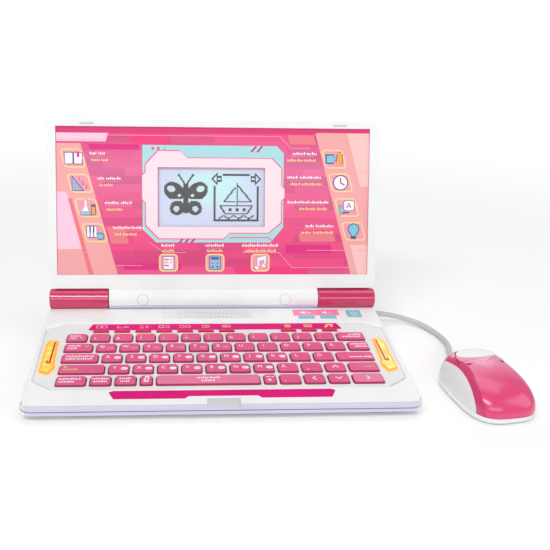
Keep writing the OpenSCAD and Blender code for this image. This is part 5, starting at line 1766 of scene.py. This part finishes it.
def panel_block(side, g):
    """A lying oval block that starts inside the mouse, for its side panel."""
    bpy.ops.object.select_all(action="DESELECT")
    bpy.ops.mesh.primitive_cylinder_add(vertices=96, radius=1, depth=1,
                                        rotation=(0, math.radians(90), 0))
    obj = bpy.context.object
    pick(obj)
    bpy.ops.object.transform_apply(rotation=True)
    obj.scale = (block_w, panel_ry - g, panel_rz - g)
    obj.location = (side * (panel_in + g + block_w / 2), panel_y, mouse_split)
    bpy.ops.object.transform_apply(location=True, scale=True)
    return obj


def cut(obj, tool, way="DIFFERENCE"):
    """Cuts obj with a tool, or keeps only what is inside it."""
    pick(obj)
    boolean = obj.modifiers.new("cut", "BOOLEAN")
    boolean.operation, boolean.solver, boolean.object = way, "EXACT", tool
    bpy.ops.object.modifier_apply(modifier="cut")
    bpy.data.objects.remove(tool)
    return obj


def button_outline(g):
    """Outline of the front button, drawn in by g, with its V at the middle."""
    return [(-20 + g, 11 + g), (-7, 9.6 + g), (0, 4 + g), (7, 9.6 + g), (20 - g, 11 + g),
            (17 - g, 23), (11 - g, 32.5 - g), (-11 + g, 32.5 - g), (-17 + g, 23)]


print("helpers: zone, panel_block, cut, button_outline")

# %% Shell, button and oval cut to shape
shell = hump("mouse_shell_skin", 0, 0.75)
for side, _ in both_sides:
    cut(shell, panel_block(side, 0))
cut(shell, zone(button_outline(0), 9, above, "button zone"))
for side, _ in both_sides:
    notch = turned([(-3.4, 1.2), (3.4, 1.2), (0, -2.6)], side * 20)
    cut(shell, zone(moved(notch, side * 14, 5.5), mouse_h - 4.6, above, "notch"))
coarser = (72, 96)
button = cut(hump("mouse_button_skin", 0, 0, *coarser),
             zone(button_outline(0.6), 17, above, "button"), "INTERSECT")
cut(button, zone(oval(0, 21, 16.5, 9.5, 48), 17, above, "seat"))
lid_oval = cut(hump("mouse_oval_skin", -0.7, 0, *coarser),
               zone(oval(0, 21, 16.3, 9.3, 48), 18, above, "oval"), "INTERSECT")
print("shell", len(shell.data.polygons), "faces, button", len(button.data.polygons))

# %% [markdown]
# ## Pink of the mouse
#
# The shell is a glossy pink with a painted sheen that grows paler towards its nose. The sunk
# band round each side panel gets a painted shade in a darker pink, out to its edge. It has no
# faces of its own, so the finish finds it by its place: the same oval that sinks the shell
# tells where the painted shade begins and ends.

# %% Mouse pink with a painted sheen and a painted shade on the band
glossy_pink = plastic("mouse pink", rgb(228, 60, 120), rough=0.2, coat=0.8, drift=0.06, grain=0.03)
nodes, links = glossy_pink.node_tree.nodes, glossy_pink.node_tree.links
place = nodes.new("ShaderNodeTexCoord").outputs["Object"]
to_mouse = nodes.new("ShaderNodeMapping")
to_mouse.vector_type = "TEXTURE"
to_mouse.inputs["Location"].default_value = MOUSE @ Vector((0, panel_y, mouse_split))
to_mouse.inputs["Rotation"].default_value = (0, 0, mouse_yaw)
to_mouse.inputs["Scale"].default_value = (MM, panel_ry * MM, panel_rz * MM)
axes = nodes.new("ShaderNodeSeparateXYZ")
flat_yz = nodes.new("ShaderNodeCombineXYZ")
reach = nodes.new("ShaderNodeVectorMath")
reach.operation = "LENGTH"
ring = nodes.new("ShaderNodeMapRange")
ring.inputs["From Min"].default_value = 1.19
ring.inputs["From Max"].default_value = 1.205
ring.inputs["To Min"].default_value = 1
ring.inputs["To Max"].default_value = 0
size_x = nodes.new("ShaderNodeMath")
size_x.operation = "ABSOLUTE"
side_only = nodes.new("ShaderNodeMapRange")
side_only.inputs["From Min"].default_value = 9
side_only.inputs["From Max"].default_value = 15
both_masks = nodes.new("ShaderNodeMath")
both_masks.operation = "MULTIPLY"
# painted sheen: the pink turns paler towards the nose
sheen_towards_nose = nodes.new("ShaderNodeMapRange")
sheen_towards_nose.inputs["From Min"].default_value = -0.75
sheen_towards_nose.inputs["From Max"].default_value = 0.05
paler = nodes.new("ShaderNodeMix")
paler.data_type = "RGBA"
paler.inputs["B"].default_value = rgb(242, 142, 180)
# painted shade in a darker pink on the sunk band round each side panel
band_shade_mix = nodes.new("ShaderNodeMix")
band_shade_mix.data_type = "RGBA"
band_shade_mix.inputs["B"].default_value = rgb(206, 46, 104)
shader_of(glossy_pink).inputs["Coat Roughness"].default_value = 0.22
base_socket = shader_of(glossy_pink).inputs["Base Color"]
wire(links,
     (place, to_mouse.inputs["Vector"]),
     (to_mouse.outputs[0], axes.inputs[0]),
     (axes.outputs["Y"], flat_yz.inputs["Y"]),
     (axes.outputs["Z"], flat_yz.inputs["Z"]),
     (flat_yz.outputs[0], reach.inputs[0]),
     (reach.outputs["Value"], ring.inputs["Value"]),
     (axes.outputs["X"], size_x.inputs[0]),
     (size_x.outputs[0], side_only.inputs["Value"]),
     (ring.outputs[0], both_masks.inputs[0]),
     (side_only.outputs[0], both_masks.inputs[1]),
     (axes.outputs["Y"], sheen_towards_nose.inputs["Value"]),
     (sheen_towards_nose.outputs[0], paler.inputs["Factor"]),
     (base_socket.links[0].from_socket, paler.inputs["A"]),
     (paler.outputs["Result"], band_shade_mix.inputs["A"]),
     (both_masks.outputs[0], band_shade_mix.inputs["Factor"]),
     (band_shade_mix.outputs["Result"], base_socket))
print("mouse pink:", len(nodes), "nodes")

# %% [markdown]
# ## Pieces of the mouse in their places
#
# The shell rides with the mouse. The front button and its white oval ride with the button's
# own body, so that they click together. The white base below them is a rounded copy of its
# solid, moved out a little to the fuller plan of the shell.

# %% Skins and base of the mouse
for obj, name, finish, body, slot, node in (
        (shell, "mouse_shell_skin", glossy_pink, "mouse", "mouse_pink", "mouse_shell"),
        (button, "mouse_button_skin", glossy_pink, "mouse_click_cap", "mouse_pink", "mouse_button"),
        (lid_oval, "mouse_oval_skin", white, "mouse_click_cap", "white_shell", "mouse_oval")):
    dress(even_shade(settle(obj, MOUSE), 28), name, finish, body, [node])
for side, word_of_side in both_sides:
    panel = cut(hump("panel", 0.5, 0, *coarser), panel_block(side, 0.1), "INTERSECT")
    dress(even_shade(settle(panel, MOUSE), 28), "mouse_side_%s_skin" % word_of_side, mouse_grey,
          "mouse", ["mouse_side_" + word_of_side])


base_n = 2.6  # how square the solid base is in plan; the shell's own is plan_n


def fuller(p):
    """Moves the base's outline out to the fuller plan of the shell."""
    u, v = abs(p.x) / (mouse_w / 2), abs(p.y) / (mouse_len / 2)
    if max(u, v) < 0.5:
        return p
    share = (u**base_n + v**base_n) ** (1 / base_n) / (u**plan_n + v**plan_n) ** (1 / plan_n)
    return Vector((p.x * share, p.y * share, p.z))


base_skin = rounded("mouse_base", 0.9, white, "mouse", MOUSE,
                    lambda p: 1.0 if p.z > 4 or p.z < 3 else 0.4, 3, fuller)
print("mouse base:", len(base_skin.data.polygons), "faces")

# %% [markdown]
# ## What is inside and underneath
#
# The keypad sheet, boards, speaker, batteries, screws and feet show in an exploded view, in
# the battery bay and from below. Each keeps its accurate solid and gets the finish of its
# real stuff: silicone, green glass fibre board, plated steel, brass bushes and soft rubber.

# %% Finishes of the inner and lower pieces
silicone = plastic("keypad silicone", rgb(206, 208, 206), rough=0.7, grain=0.2)
board_green = plastic("circuit board green", rgb(28, 104, 60), rough=0.4, drift=0.3, grain=0.3,
                      grain_size=1.2)
brass = plastic("bush brass", rgb(204, 172, 98), rough=0.3)
shader_of(brass).inputs["Metallic"].default_value = 1.0
cell_sleeve = plastic("battery sleeve", rgb(92, 96, 108), rough=0.35, drift=0.2)
diode = plastic("diode cap", rgb(250, 244, 214), rough=0.2, coat=0.5)
inner_finishes = (
    (silicone, "keypad_sheet"),
    (board_green, "main_board", "lcd_board", "mouse_board"),
    (dark, "speaker"),
    (cell_sleeve, "batteries"),
    (brass, "hinge_bushes"),
    (steel, "battery_contacts", "battery_door_screw", "case_screws", "lid_screws", "mouse_screw",
     "hinge_pins"),
    (diode, "lamp_leds"),
    (rubber, "rubber_feet", "mouse_feet"))
for material, *nodes_of in inner_finishes:
    for node in nodes_of:
        finish_solid(node, material)
left_over = [n for n, o in frame["nodes"].items() if not o.hide_render
             and not any(m and "Noise Texture" in m.node_tree.nodes for m in o.data.materials)]
print("solids still with their first colours:", left_over)
